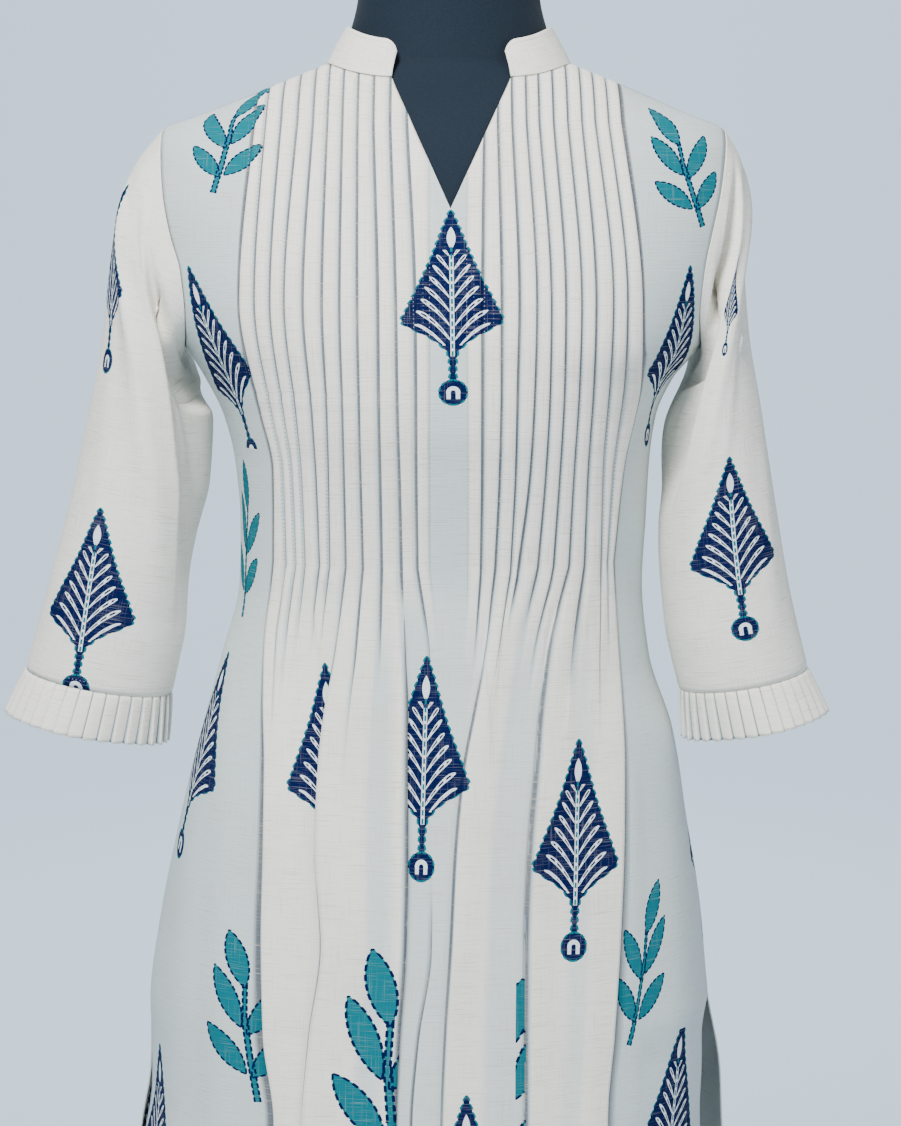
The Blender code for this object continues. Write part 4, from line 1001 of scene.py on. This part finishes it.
outer = plain + cloth_normals("front", plain, sign, drops) * relief[..., None]
outer[..., 1] -= 0.0002

fold_lines = [line_places(drops)[fold[0]] for fold in SKIRT_FOLDS]
pleats = sum((plain[..., 0] > line).astype(float) for line in fold_lines)
hidden = (plain[..., 0] > TURNED_EDGE[0]) & (plain[..., 0] < fold_lines[5]) & (drops > TURNED_EDGE[1])
pleats = np.where(hidden, 5.5, pleats)
on_tuck = np.repeat((heights > 0.05).astype(float), len(drops), axis=0)
cream = np.where(below, 0.0, on_tuck)
for number in range(len(PLEAT_TINTS)):
    share = (plain[..., 0] - fold_lines[number]) / np.maximum(fold_lines[number + 1] - fold_lines[number], 1e-4)
    inside = below & (share >= 0.0) & (share < 1.0)
    cream = np.where(inside, np.interp(share, *PLEAT_TINTS[number]), cream)
cream = np.where(below, cream + (on_tuck - cream) * (1.0 - opening), cream)
# Painted shade: the tint is pushed below zero in the narrow column beside each fold edge
beside_fold = np.array([entry[4] != 0.0 for entry in columns])[None, :]
painted_fold_shade_share = np.where(below, 0.0, 1.0) + np.where(below, 1.0 - opening, 0.0)
for line, _, _, steps in SKIRT_FOLDS:
    own_column = np.array([entry[4] != 0.0 and entry[2] == line for entry in columns])[None, :]
    strength = np.clip(smooth(SKIRT_DROPS, steps, drops) / 0.0030, 0.0, 1.0)
    painted_fold_shade_share = np.where(own_column & below, np.maximum(painted_fold_shade_share, strength), painted_fold_shade_share)
cream = np.where(beside_fold, cream - PAINTED_FOLD_SHADE * painted_fold_shade_share, cream)
# Painted shade on the steep slopes of the relief
slope = np.abs(np.gradient(relief, axis=1)) / np.maximum(np.abs(np.gradient(plain[..., 0], axis=1)), 1e-4)
cream = cream - PAINTED_SLOPE_SHADE * np.clip((slope - SLOPE_START) / SLOPE_REACH, 0.0, 1.0)
lines = line_places(drops)
to_stitch = np.full_like(drops, 1.0)
for number in range(1, 13):
    for half in (-1, 1):
        gap = 0.0 if number == 1 else STITCH_GAP
        away = plain[..., 0] - lines[half * number] - half * gap
        to_stitch = np.where(np.abs(away) < np.abs(to_stitch), away, to_stitch)
to_stitch = np.where(below, 1.0, to_stitch)
along_stitch = drops.copy()
to_hem = drops - (KURTA_LENGTH - HEM_STITCH)
to_stitch = np.where(to_hem > -0.02, to_hem, to_stitch)
along_stitch = np.where(to_hem > -0.02, over, along_stitch)
front = cut_piece("kurta_front", outer, over, drops, cream, FRONT_PRINTS, pleats, (to_stitch, along_stitch))
thicken(front, WALL)
hang(front, "front", 0.62, KURTA_LENGTH, ["form_body"], area=0.56)


# Back
# One plain panel of the same printed cotton, joined to the front at the
# shoulders and sides and left open below as two slits.
BACK_PRINTS = (
    # kind, across and down at its first end, at its second end, width, pleats
    ("leaf", (0.0000, 0.0900), (0.0010, 0.2100), 1.0, None),
    ("leaf", (-0.1450, 0.1700), (-0.1400, 0.2950), 0.9, None),
    ("leaf", (0.1430, 0.1650), (0.1380, 0.2900), 0.9, None),
    ("sprig", (-0.1180, 0.1200), (-0.1000, 0.0400), 1.0, None),
    ("sprig", (0.1150, 0.1250), (0.1000, 0.0450), -1.0, None),
    ("sprig", (-0.0600, 0.3600), (-0.0780, 0.2600), 1.0, None),
    ("sprig", (0.0750, 0.3550), (0.0600, 0.2550), 1.0, None),
    ("leaf", (0.0000, 0.3700), (0.0020, 0.5000), 0.9, None),
    ("leaf", (-0.1400, 0.4300), (-0.1430, 0.5600), 0.9, None),
    ("leaf", (0.1350, 0.4250), (0.1380, 0.5550), 0.9, None),
    ("sprig", (-0.0620, 0.6400), (-0.0800, 0.5350), 1.0, None),
    ("sprig", (0.0800, 0.6350), (0.0640, 0.5300), 1.0, None),
    ("leaf", (0.0000, 0.6500), (0.0010, 0.7800), 0.9, None),
    ("leaf", (-0.1650, 0.7000), (-0.1680, 0.8300), 0.9, None),
    ("leaf", (0.1600, 0.6950), (0.1640, 0.8250), 0.9, None),
    ("leaf", (-0.2450, 0.6700), (-0.2500, 0.8000), 0.9, None),
    ("leaf", (0.2500, 0.8600), (0.2550, 0.9900), 0.9, None),
    ("sprig", (-0.0720, 0.9200), (-0.0900, 0.8150), 1.0, None),
    ("sprig", (0.0950, 0.9150), (0.0800, 0.8100), 1.0, None),
    ("leaf", (0.0050, 0.9500), (0.0060, 1.0800), 0.9, None),
    ("leaf", (-0.1850, 0.9800), (-0.1880, 1.1100), 0.9, None),
    ("leaf", (0.1850, 0.9750), (0.1880, 1.1050), 0.9, None),
)
BACK_WAVES = (
    # first drop, last drop, place at each, half width, height
    (0.30, 1.12, -0.0950, -0.1400, 0.0160, 0.0028),
    (0.36, 1.12, -0.0350, -0.0500, 0.0140, 0.0024),
    (0.33, 1.12, 0.0300, 0.0480, 0.0150, 0.0026),
    (0.40, 1.12, 0.0900, 0.1350, 0.0160, 0.0028),
    (0.50, 1.12, -0.1500, -0.2050, 0.0130, 0.0022),
    (0.50, 1.12, 0.1400, 0.1800, 0.0130, 0.0022),
)
BACK_NECK_SHARE = 0.436


def wave_relief(waves, across, drop):
    """Height of soft waves that run down the cloth."""
    height = np.zeros_like(across)
    for first, last, start, end, spread, rise in waves:
        share = np.clip((drop - first) / (last - first), 0.0, 1.0)
        away = (across - (start + (end - start) * share)) / spread
        height += rise * eased((drop - first) / 0.10) * np.exp(-away ** 2)
    return height


back_drops = np.concatenate((np.linspace(UNDERARM_DROP, SLIT_DROP, 60)[1:],
                             np.linspace(SLIT_DROP, KURTA_LENGTH, 50)[1:]))
shares = np.linspace(-1.0, 1.0, 125)
sides = np.where(shares < 0.0, -1.0, 1.0)
reach = np.abs(shares)
tip = armhole_distance(sides, np.full_like(shares, SHOULDER_DROP))
beyond = (reach - BACK_NECK_SHARE) / (1.0 - BACK_NECK_SHARE)
spread_out = np.where(reach > BACK_NECK_SHARE, NECK_HALF_WIDTH + (tip - NECK_HALF_WIDTH) * beyond,
                      NECK_HALF_WIDTH * reach / BACK_NECK_SHARE)
back_tops = top_drop("back", sides, spread_out)
drops = np.concatenate((upper_rows(back_tops, 36), np.repeat(back_drops[:, None], len(shares), axis=1)))
sides = np.repeat(sides[None, :], len(drops), axis=0)
narrowing = armhole_distance(sides, drops) / tip[None, :]
by_width = angle_at("back", sides, spread_out[None, :] * narrowing, drops)
edge = edge_angle("back", sides, drops)
blend = np.clip((drops - 0.060) / 0.080, 0.0, 1.0)
angle = by_width + blend * (reach[None, :] * edge - by_width)
angle = np.where(reach[None, :] == 1.0, edge, angle)
plain = cloth_points("back", sides, angle, drops)
relief = wave_relief(BACK_WAVES, plain[..., 0], drops) * eased((edge - angle) / 10.0)
outer = plain + cloth_normals("back", plain, sides, drops) * relief[..., None]
outer[..., 1] += 0.0002
over = across_cloth("back", sides, angle, drops)
to_hem = drops - (KURTA_LENGTH - HEM_STITCH)
back_cream = np.full_like(drops, 0.35)
back_stitches = (to_hem, over)
back = cut_piece("kurta_back", outer[:, ::-1], over[:, ::-1], drops[:, ::-1], back_cream[:, ::-1], BACK_PRINTS,
                 np.zeros_like(drops), tuple(values[:, ::-1] for values in back_stitches))
thicken(back, WALL)
hang(back, "back", 0.62, KURTA_LENGTH, ["form_body"], area=0.60)


# Sleeves
# Each three-quarter sleeve is one piece of the cotton, sewn into a tube and
# set into the armhole. Its cuff edge is turned in and topstitched.
# Sleeve rings: outermost and innermost point, half depth, centre along Y
SLEEVES = {
    -1: (
        # outer x, outer drop, inner x, inner drop, half depth, centre y
        (0.2050, 0.064, 0.1765, 0.1925, 0.061, -0.004),
        (0.2165, 0.090, 0.1725, 0.2020, 0.058, -0.007),
        (0.2225, 0.130, 0.1595, 0.2160, 0.055, -0.010),
        (0.2280, 0.178, 0.1555, 0.2400, 0.053, -0.012),
        (0.2385, 0.230, 0.1560, 0.2750, 0.051, -0.014),
        (0.2520, 0.290, 0.1630, 0.3130, 0.050, -0.015),
        (0.2680, 0.348, 0.1730, 0.3620, 0.049, -0.015),
        (0.2820, 0.397, 0.1850, 0.4150, 0.048, -0.015),
    ),
    1: (
        # outer x, outer drop, inner x, inner drop, half depth, centre y
        (0.1920, 0.064, 0.1652, 0.1925, 0.060, -0.004),
        (0.1960, 0.093, 0.1600, 0.2025, 0.0575, -0.007),
        (0.1935, 0.125, 0.1522, 0.2150, 0.056, -0.011),
        (0.1965, 0.170, 0.1420, 0.2380, 0.054, -0.015),
        (0.2055, 0.225, 0.1388, 0.2720, 0.052, -0.018),
        (0.2150, 0.283, 0.1388, 0.3120, 0.050, -0.020),
        (0.2255, 0.342, 0.1430, 0.3650, 0.049, -0.020),
        (0.2385, 0.396, 0.1530, 0.4110, 0.048, -0.020),
    ),
}
SLEEVE_FOLDS = {
    -1: (
        # first ring, angle, last ring, angle, half width in degrees, height
        (1.5, 35.0, 7.0, 128.0, 14.0, 0.0050),
        (2.0, 205.0, 7.0, 250.0, 20.0, -0.0035),
        (2.4, 120.0, 5.6, 172.0, 7.0, 0.0022),
        (1.2, 20.0, 4.0, 80.0, 7.0, 0.0018),
        (3.6, 40.0, 7.6, 75.0, 10.0, 0.0012),
        (0.6, 60.0, 2.6, 110.0, 7.0, 0.0020),
    ),
    1: (
        # first ring, angle, last ring, angle, half width in degrees, height
        (1.0, 0.0, 6.0, 128.0, 15.0, 0.0040),
        (2.0, 215.0, 7.0, 260.0, 20.0, -0.0035),
        (1.6, 60.0, 4.6, 165.0, 7.0, 0.0024),
        (2.6, 30.0, 6.4, 110.0, 8.0, 0.0016),
        (4.6, 20.0, 7.8, 60.0, 11.0, 0.0012),
        (0.4, 70.0, 2.2, 130.0, 7.0, 0.0022),
    ),
}
SLEEVE_TUCKED_IN = {
    # first ring, angle, last ring, angle, width of the edge in degrees, depth
    -1: ((0.8, 74.0, 7.4, 150.0, 9.0, 0.0170), (1.2, 88.0, 3.6, 150.0, 10.0, 0.0150)),
    1: ((0.3, 25.0, 5.8, 146.0, 9.0, 0.0130), (0.8, 60.0, 3.0, 120.0, 10.0, 0.0110)),
}
SLEEVE_PRINTS = {
    -1: (
        # kind, across and down at its first end, at its second end, width, pleats
        ("leaf", (0.0545, 0.2252), (0.0655, 0.3445), 1.10, None),
        ("leaf", (0.0300, 0.0170), (0.0345, 0.1319), 0.95, None),
        ("leaf", (-0.100, 0.120), (-0.105, 0.250), 0.88, None),
        ("sprig", (-0.060, 0.360), (-0.080, 0.250), 1.0, None),
    ),
    1: (
        # kind, across and down at its first end, at its second end, width, pleats
        ("leaf", (0.0647, 0.1929), (0.0668, 0.3053), 1.15, None),
        ("leaf", (0.0633, 0.0643), (0.0709, 0.1239), 0.65, None),
        ("leaf", (-0.100, 0.120), (-0.105, 0.250), 0.88, None),
        ("sprig", (-0.060, 0.360), (-0.080, 0.250), 1.0, None),
    ),
}
SLEEVE_AROUND = 128
SLEEVE_LENGTH = 0.345
SLEEVE_WALL = 0.0009
CUFF_STITCH = 0.0055


def armhole_seam(sign, turns):
    """Points of the armhole seam, from the shoulder over the front and round."""
    middle = 0.5 * (SHOULDER_DROP + UNDERARM_DROP)
    drop = middle - 0.5 * (UNDERARM_DROP - SHOULDER_DROP) * np.cos(turns)
    side = np.full_like(turns, float(sign))
    ahead = cloth_points("front", side, edge_angle("front", side, np.minimum(drop, UNDERARM_DROP - 1e-6)), drop)
    behind = cloth_points("back", side, edge_angle("back", side, np.minimum(drop, UNDERARM_DROP - 1e-6)), drop)
    return np.where((np.sin(turns) > 0.0)[:, None], ahead, behind)


def sleeve_rings(sign, turns, stations):
    """Plain sleeve surface: rings from the armhole down to the cuff."""
    seam = armhole_seam(sign, turns) + np.array((sign * 0.00045, 0.0, 0.0))
    opposite = len(turns) // 2
    first = (abs(seam[0][0]), SHOULDER_DROP, abs(seam[opposite][0]), UNDERARM_DROP, 0.062, -0.004)
    rows = np.array((first,) + SLEEVES[sign])
    outer_x, outer_drop, inner_x, inner_drop, depth, centre = (
        smooth(np.arange(len(rows)), rows[:, place], stations) for place in range(6))
    outer_end = np.stack((sign * outer_x, NECK_POINT_HEIGHT - outer_drop), axis=-1)
    inner_end = np.stack((sign * inner_x, NECK_POINT_HEIGHT - inner_drop), axis=-1)
    half, mid = 0.5 * (outer_end - inner_end), 0.5 * (outer_end + inner_end)
    spread = mid[:, None, :] + half[:, None, :] * np.cos(turns)[None, :, None]
    y = centre[:, None] - depth[:, None] * np.sin(turns)[None, :]
    rings = np.stack((spread[..., 0], y, spread[..., 1]), axis=-1)
    fade = np.maximum(1.0 - stations / 4.0, 0.0) ** 1.5
    return rings + (seam - rings[0])[None] * fade[:, None, None]


def ring_normals(grid):
    """Outward directions at the points of a grid of rings."""
    around = np.roll(grid, -1, axis=1) - np.roll(grid, 1, axis=1)
    down = np.gradient(grid, axis=0)
    normals = np.cross(down, around)
    normals /= np.maximum(np.linalg.norm(normals, axis=2, keepdims=True), 1e-12)
    outward = ((grid - grid.mean(axis=1, keepdims=True)) * normals).sum()
    return normals if outward > 0.0 else -normals


cuffs = {}
for sign, side in ((-1, "right"), (1, "left")):
    turns = 2.0 * np.pi * np.arange(SLEEVE_AROUND) / SLEEVE_AROUND
    stations = np.concatenate((np.linspace(0.0, 4.0, 66)[:-1], np.linspace(4.0, 8.0, 62)))
    rings = sleeve_rings(sign, turns, stations)
    normals = ring_normals(rings)
    relief = np.zeros(rings.shape[:2])
    for first, start, last, end, width, rise in SLEEVE_FOLDS[sign]:
        share = np.clip((stations - first) / (last - first), 0.0, 1.0)[:, None]
        away = (np.degrees(turns)[None, :] - (start + share * (end - start)) + 180.0) % 360.0 - 180.0
        relief += rise * np.sin(np.pi * share) ** 0.7 * np.exp(-(away / width) ** 2)
    for first, start, last, end, width, depth in SLEEVE_TUCKED_IN[sign]:
        share = np.clip((stations - first) / (last - first), 0.0, 1.0)[:, None]
        away = np.degrees(turns)[None, :] - (start + share * (end - start))
        held = eased(share / 0.25) * (1.0 - eased((share - 0.70) / 0.30))
        relief -= depth * held * eased(away / width) * (1.0 - eased((away - 35.0) / 50.0))
    down = np.concatenate((np.zeros((1, SLEEVE_AROUND)),
                           np.cumsum(np.linalg.norm(np.diff(rings, axis=0), axis=2), axis=0)))
    to_cuff = down[-1:] - down
    relief -= 0.0007 * np.exp(-(to_cuff / 0.0012) ** 2) + 0.0004 * np.exp(-((to_cuff - CUFF_STITCH) / 0.0010) ** 2)
    rings = rings + normals * relief[..., None]
    closed = np.concatenate((rings, rings[:, :1]), axis=1)
    over = np.concatenate((np.zeros((len(stations), 1)),
                           np.cumsum(np.linalg.norm(np.diff(closed, axis=1), axis=2), axis=1)), axis=1)
    over = np.where(over > 0.62 * over[:, -1:], over - over[:, -1:], over)
    over[:, -1] = 0.0
    piece = cut_piece("sleeve_cloth_" + side, rings, over, SLEEVE_LENGTH - to_cuff, np.full_like(down, 0.85),
                      SLEEVE_PRINTS[sign], np.zeros_like(down),
                      (to_cuff - CUFF_STITCH, np.broadcast_to(over[:, :-1], down.shape)), round_about=True)
    bpy.ops.object.select_all(action="DESELECT")
    turn_outwards(piece)
    thicken(piece, SLEEVE_WALL)
    hang(piece, "sleeve_" + side, 0.37, 0.345, ["kurta_front", "kurta_back"], area=0.096)
    cuffs[sign] = rings


# Cuff frills
# A strip of the cotton is pressed into 35 knife pleats and sewn under each
# cuff edge, where it flares a little.
FRILL_LENGTH = 0.031
FRILL_PLEATS = 35
FRILL_HEIGHT = 0.0040
FRILL_FLARE = 0.004
FRILL_WALL = 0.0006
# Painted shade in the valleys between the frill's pleats
PAINTED_VALLEY_SHADE = -0.9
PLEAT_PROFILE = ((0.0, 0.10), (0.03, 1.0), (0.14, 0.98), (0.38, 0.80), (0.64, 0.50), (0.86, 0.20), (0.955, 0.04))

for sign, side in ((-1, "right"), (1, "left")):
    rings = cuffs[sign]
    cuff, centre = rings[-1], rings[-1].mean(axis=0)
    straight_down = centre - rings[-12].mean(axis=0)
    straight_down /= np.linalg.norm(straight_down)
    places = np.array([(pleat + part) / FRILL_PLEATS
                       for pleat in range(FRILL_PLEATS) for part, _ in PLEAT_PROFILE])
    rises = np.array([rise for _ in range(FRILL_PLEATS) for _, rise in PLEAT_PROFILE])
    spot = places * SLEEVE_AROUND
    low = spot.astype(int) % SLEEVE_AROUND
    rim = cuff[low] + (cuff[(low + 1) % SLEEVE_AROUND] - cuff[low]) * (spot - spot.astype(int))[:, None]
    away = rim - centre
    away -= (away @ straight_down)[:, None] * straight_down
    away /= np.linalg.norm(away, axis=1, keepdims=True)
    share = np.linspace(0.0, 1.0, 14)[:, None]
    sway = 0.0010 * np.sin(places * 2.0 * np.pi * 5.0 + 0.7)[None, :] * share
    lift = FRILL_FLARE * share ** 0.8 + FRILL_HEIGHT * (0.30 + 0.70 * share ** 0.7) * rises[None, :] + sway
    fall = 0.0003 + FRILL_LENGTH * share
    grid = rim[None] + straight_down * fall[..., None] + away[None] * (lift - 0.0006)[..., None]
    closed = np.concatenate((grid, grid[:, :1]), axis=1)
    over = np.concatenate((np.zeros((len(share), 1)),
                           np.cumsum(np.linalg.norm(np.diff(closed, axis=1), axis=2), axis=1)), axis=1)
    down = np.broadcast_to(FRILL_LENGTH * share, grid.shape[:2])
    # Full cream on the pleats, painted shade in each valley
    frill_tint_with_painted_shade = np.broadcast_to(np.where(rises < 0.15, PAINTED_VALLEY_SHADE, 1.0)[None, :], grid.shape[:2])
    piece = cut_piece("frill_cloth_" + side, grid, over, down, frill_tint_with_painted_shade, (),
                      np.zeros(grid.shape[:2]), (np.ones_like(down), down), round_about=True)
    turn_outwards(piece)
    thicken(piece, FRILL_WALL)
    hang(piece, "frill_" + side, 0.37, 0.033, ["sleeve_cloth_" + side], held="gathered")


# Collar
# A narrow standing band of doubled cotton goes round the back of the neck
# and ends at each side of the V in a rounded corner.
COLLAR_HEIGHT = 0.024
COLLAR_CORNER = 0.010
COLLAR_LEAN = 0.006
COLLAR_SIDE_LEAN = 0.007
COLLAR_WALL = 0.0022
reach = np.linspace(NECK_HALF_WIDTH, COLLAR_END_RIGHT, 30)[::-1]
right = cloth_points("front", -1.0, angle_at("front", -1.0, reach, top_drop("front", -1.0, reach)),
                     top_drop("front", -1.0, reach))
reach = np.linspace(NECK_HALF_WIDTH, -NECK_HALF_WIDTH, 75)[::-1][1:-1]
sides = np.where(reach < 0.0, -1.0, 1.0)
back_top = top_drop("back", sides, np.abs(reach))
behind = cloth_points("back", sides, angle_at("back", sides, np.abs(reach), back_top), back_top)
reach = np.linspace(NECK_HALF_WIDTH, COLLAR_END_LEFT, 30)
left = cloth_points("front", 1.0, angle_at("front", 1.0, reach, top_drop("front", 1.0, reach)),
                    top_drop("front", 1.0, reach))
base = np.concatenate((right, behind, left))
along = np.concatenate(([0.0], np.cumsum(np.linalg.norm(np.diff(base, axis=0), axis=1))))
to_end = np.minimum(along, along[-1] - along)
outward = np.stack((base[:, 0], base[:, 1], np.zeros(len(base))), axis=-1)
outward /= np.linalg.norm(outward, axis=1, keepdims=True)
short = COLLAR_CORNER - np.minimum(to_end, COLLAR_CORNER)
height = COLLAR_HEIGHT - COLLAR_CORNER + np.sqrt(COLLAR_CORNER ** 2 - 0.96 * short ** 2)
lean = COLLAR_LEAN + COLLAR_SIDE_LEAN * outward[:, 0] ** 2
share = np.linspace(0.0, 1.0, 16)[:, None]
rise = 0.0004 + height[None, :] * share
grid = base[None] - outward[None] * (lean[None, :] * share)[..., None]
grid[..., 2] += rise
puff = 0.0004 * np.sin(np.pi * share) * np.ones_like(rise)
grid = grid + outward[None] * puff[..., None]
grid, rise, height_all = grid[::-1], rise[::-1], np.broadcast_to(height[None, :], rise.shape)
over = np.broadcast_to(along[None, :], rise.shape)
from_edge = np.minimum(height_all - rise, to_end[None, :])
collar = cut_piece("neck_band", grid, over, height_all - rise, np.full_like(rise, 0.95), (), np.zeros_like(rise),
                   (from_edge - 0.0022, over))
turn_outwards(collar, flat_centre=True)
thicken(collar, COLLAR_WALL)
soften_edges(collar, 0.0007)
hang(collar, "collar", 0.37, 0.030, ["kurta_front", "kurta_back"], held="folded")


# Dress form
# The padded torso has no limbs. Dark knitted jersey is stretched over it and
# up the neck, which ends in a flat cap.
FORM_EASE = ((0.000, 0.0007), (0.060, 0.0009), (0.100, 0.0018), (0.140, 0.0035), (0.220, 0.0070), (0.300, 0.0090),
             (0.400, 0.0150), (0.550, 0.0240), (0.660, 0.0300))
FORM_NECK = (
    # drop, half width, depth in front and behind
    (-0.085, 0.0575, 0.0490, 0.0500),
    (-0.060, 0.0582, 0.0495, 0.0510),
    (-0.041, 0.0597, 0.0505, 0.0530),
    (-0.022, 0.0643, 0.0530, 0.0575),
    (-0.010, 0.0690, 0.0552, 0.0600),
    (-0.004, 0.0715, 0.0565, 0.0615),
    (0.0015, 0.0745, 0.0575, 0.0625),
)
FORM_ARM_PLATE = 0.158
FORM_AROUND = 120

# Rounded ends of the form: the scale of each ring, and how far it stands out
FORM_CAP = ((0.90, 0.0063), (0.955, 0.006), (0.985, 0.004))
FORM_BASE = ((0.985, 0.004), (0.955, 0.005))


def knitted_jersey():
    """Dark jersey with fine ribs of stitches and a soft bloom."""
    made = bpy.data.materials.new("dark_knit_jersey")
    made.use_nodes = True
    tree = made.node_tree
    shader = tree.nodes["Principled BSDF"]
    shader.inputs["Roughness"].default_value = 0.80
    shader.inputs["Specular IOR Level"].default_value = 0.20
    shader.inputs["Sheen Weight"].default_value = 0.04
    shader.inputs["Sheen Roughness"].default_value = 0.5
    place = tree.nodes.new("ShaderNodeTexCoord")
    cloud = tree.nodes.new("ShaderNodeTexNoise")
    cloud.inputs["Scale"].default_value = 7.0
    fuzz = tree.nodes.new("ShaderNodeTexNoise")
    fuzz.inputs["Scale"].default_value = 900.0
    for node in (cloud, fuzz):
        tree.links.new(place.outputs["Object"], node.inputs["Vector"])
    broad = calc(tree, "MULTIPLY", cloud.outputs["Fac"], 0.45)
    tone = calc(tree, "MULTIPLY_ADD", fuzz.outputs["Fac"], 0.55, broad)
    tree.links.new(mixed(tree, tone, linear(14, 24, 33), linear(34, 46, 58)), shader.inputs["Base Color"])
    split = tree.nodes.new("ShaderNodeSeparateXYZ")
    tree.links.new(place.outputs["Object"], split.inputs["Vector"])
    courses = calc(tree, "SINE", calc(tree, "MULTIPLY", split.outputs["Z"], 2.0 * math.pi / 0.0011))
    wales = calc(tree, "SINE", calc(tree, "MULTIPLY", split.outputs["X"], 2.0 * math.pi / 0.0009))
    bump = tree.nodes.new("ShaderNodeBump")
    bump.inputs["Strength"].default_value = 0.25
    bump.inputs["Distance"].default_value = 0.0003
    knit = calc(tree, "ADD", calc(tree, "MULTIPLY", courses, wales), fuzz.outputs["Fac"])
    tree.links.new(knit, bump.inputs["Height"])
    tree.links.new(bump.outputs["Normal"], shader.inputs["Normal"])
    return made


jersey = knitted_jersey()
turn = 2.0 * np.pi * np.arange(FORM_AROUND) / FORM_AROUND
ahead = np.cos(turn) > 0.0
neck_drops = np.linspace(-0.085, 0.0015, 26)
neck_table = np.array(FORM_NECK)
half, before, behind = (smooth(neck_table[:, 0], neck_table[:, place], neck_drops)[:, None] for place in (1, 2, 3))
depth = np.where(ahead[None, :], before, behind)
neck = np.stack((half * np.sin(turn), -depth * np.cos(turn),
                 np.broadcast_to(NECK_POINT_HEIGHT - neck_drops[:, None], depth.shape)), axis=-1)
body_drops = np.concatenate((np.linspace(0.005, 0.105, 40), np.linspace(0.11, 0.655, 60)))[:, None]
body_drops = np.broadcast_to(body_drops, (100, FORM_AROUND))
side = np.broadcast_to(np.where(turn <= np.pi, 1.0, -1.0)[None, :], body_drops.shape)
quarter = np.degrees(turn) % 180.0
angle = np.broadcast_to(np.minimum(quarter, 180.0 - quarter)[None, :], body_drops.shape)
body = np.zeros(body_drops.shape + (3,))
for panel, chosen in (("front", ahead), ("back", ~ahead)):
    points = cloth_points(panel, side, angle, body_drops)
    widths = half_width(panel, side, body_drops)
    points[..., 0] = side * half_width("back", side, body_drops) * np.abs(points[..., 0]) / widths
    directions = cloth_normals(panel, points, side, body_drops)
    inset = 0.0015 + smooth([row[0] for row in FORM_EASE], [row[1] for row in FORM_EASE], body_drops)
    points = points - directions * inset[..., None]
    body = np.where(chosen[None, :, None], points, body)
level = np.clip((body_drops - 0.060) / 0.060, 0.0, 1.0)[..., None]
flat_z = NECK_POINT_HEIGHT - body_drops[..., None]
body[..., 2:] = body[..., 2:] * (1.0 - level) + flat_z * level
body[..., 0] = np.clip(body[..., 0], -FORM_ARM_PLATE, FORM_ARM_PLATE)
cap = [neck[0] * (scale, scale, 1.0) + (0.0, 0.0, rise) for scale, rise in FORM_CAP]
base = [body[-1] * (scale, scale, 1.0) - (0.0, 0.0, fall) for scale, fall in FORM_BASE]
rings = np.concatenate((np.array(cap), neck, body, np.array(base)))
rows = len(rings)
index = np.arange(rows * FORM_AROUND).reshape(rows, FORM_AROUND)
beside = np.roll(index, -1, axis=1)
quads = np.stack((index[:-1], beside[:-1], beside[1:], index[1:]), axis=-1).reshape(-1, 4).tolist()
form_mesh = bpy.data.meshes.new("form_cover")
form_mesh.from_pydata(rings.reshape(-1, 3).tolist(), [], quads + [index[0][::-1].tolist(), index[-1].tolist()])
form_mesh.materials.append(jersey)
form_mesh.shade_smooth()
form_cover = bpy.data.objects.new("form_cover", form_mesh)
bpy.context.scene.collection.objects.link(form_cover)
turn_outwards(form_cover)
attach(form_cover, "root")
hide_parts("form_body")


# Pole and foot
# A steel tube carries the form over a round steel plate. Both are brushed
# satin, the plate in rings round its centre.


def brushed_steel(name, ringed):
    """Satin steel with fine brush marks along the tube or round the plate."""
    made = bpy.data.materials.new(name)
    made.use_nodes = True
    tree = made.node_tree
    shader = tree.nodes["Principled BSDF"]
    shader.inputs["Base Color"].default_value = (0.52, 0.53, 0.55, 1.0)
    shader.inputs["Metallic"].default_value = 1.0
    place = tree.nodes.new("ShaderNodeTexCoord")
    noise = tree.nodes.new("ShaderNodeTexNoise")
    noise.inputs["Detail"].default_value = 3.0
    if ringed:
        split = tree.nodes.new("ShaderNodeSeparateXYZ")
        tree.links.new(place.outputs["Object"], split.inputs["Vector"])
        squares = calc(tree, "ADD", calc(tree, "MULTIPLY", split.outputs["X"], split.outputs["X"]),
                       calc(tree, "MULTIPLY", split.outputs["Y"], split.outputs["Y"]))
        radius = calc(tree, "SQRT", squares)
        joined = tree.nodes.new("ShaderNodeCombineXYZ")
        tree.links.new(radius, joined.inputs["X"])
        tree.links.new(joined.outputs["Vector"], noise.inputs["Vector"])
        noise.inputs["Scale"].default_value = 900.0
    else:
        mapping = tree.nodes.new("ShaderNodeMapping")
        mapping.inputs["Scale"].default_value = (60.0, 60.0, 1200.0)
        tree.links.new(place.outputs["Object"], mapping.inputs["Vector"])
        tree.links.new(mapping.outputs["Vector"], noise.inputs["Vector"])
        noise.inputs["Scale"].default_value = 1.0
    tree.links.new(calc(tree, "MULTIPLY_ADD", noise.outputs["Fac"], 0.22, 0.24), shader.inputs["Roughness"])
    bump = tree.nodes.new("ShaderNodeBump")
    bump.inputs["Strength"].default_value = 0.08
    bump.inputs["Distance"].default_value = 0.0002
    tree.links.new(noise.outputs["Fac"], bump.inputs["Height"])
    tree.links.new(bump.outputs["Normal"], shader.inputs["Normal"])
    return made


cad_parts["form_pole"].material_slots[0].material = brushed_steel("brushed_pole_steel", False)
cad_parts["form_foot"].material_slots[0].material = brushed_steel("brushed_plate_steel", True)
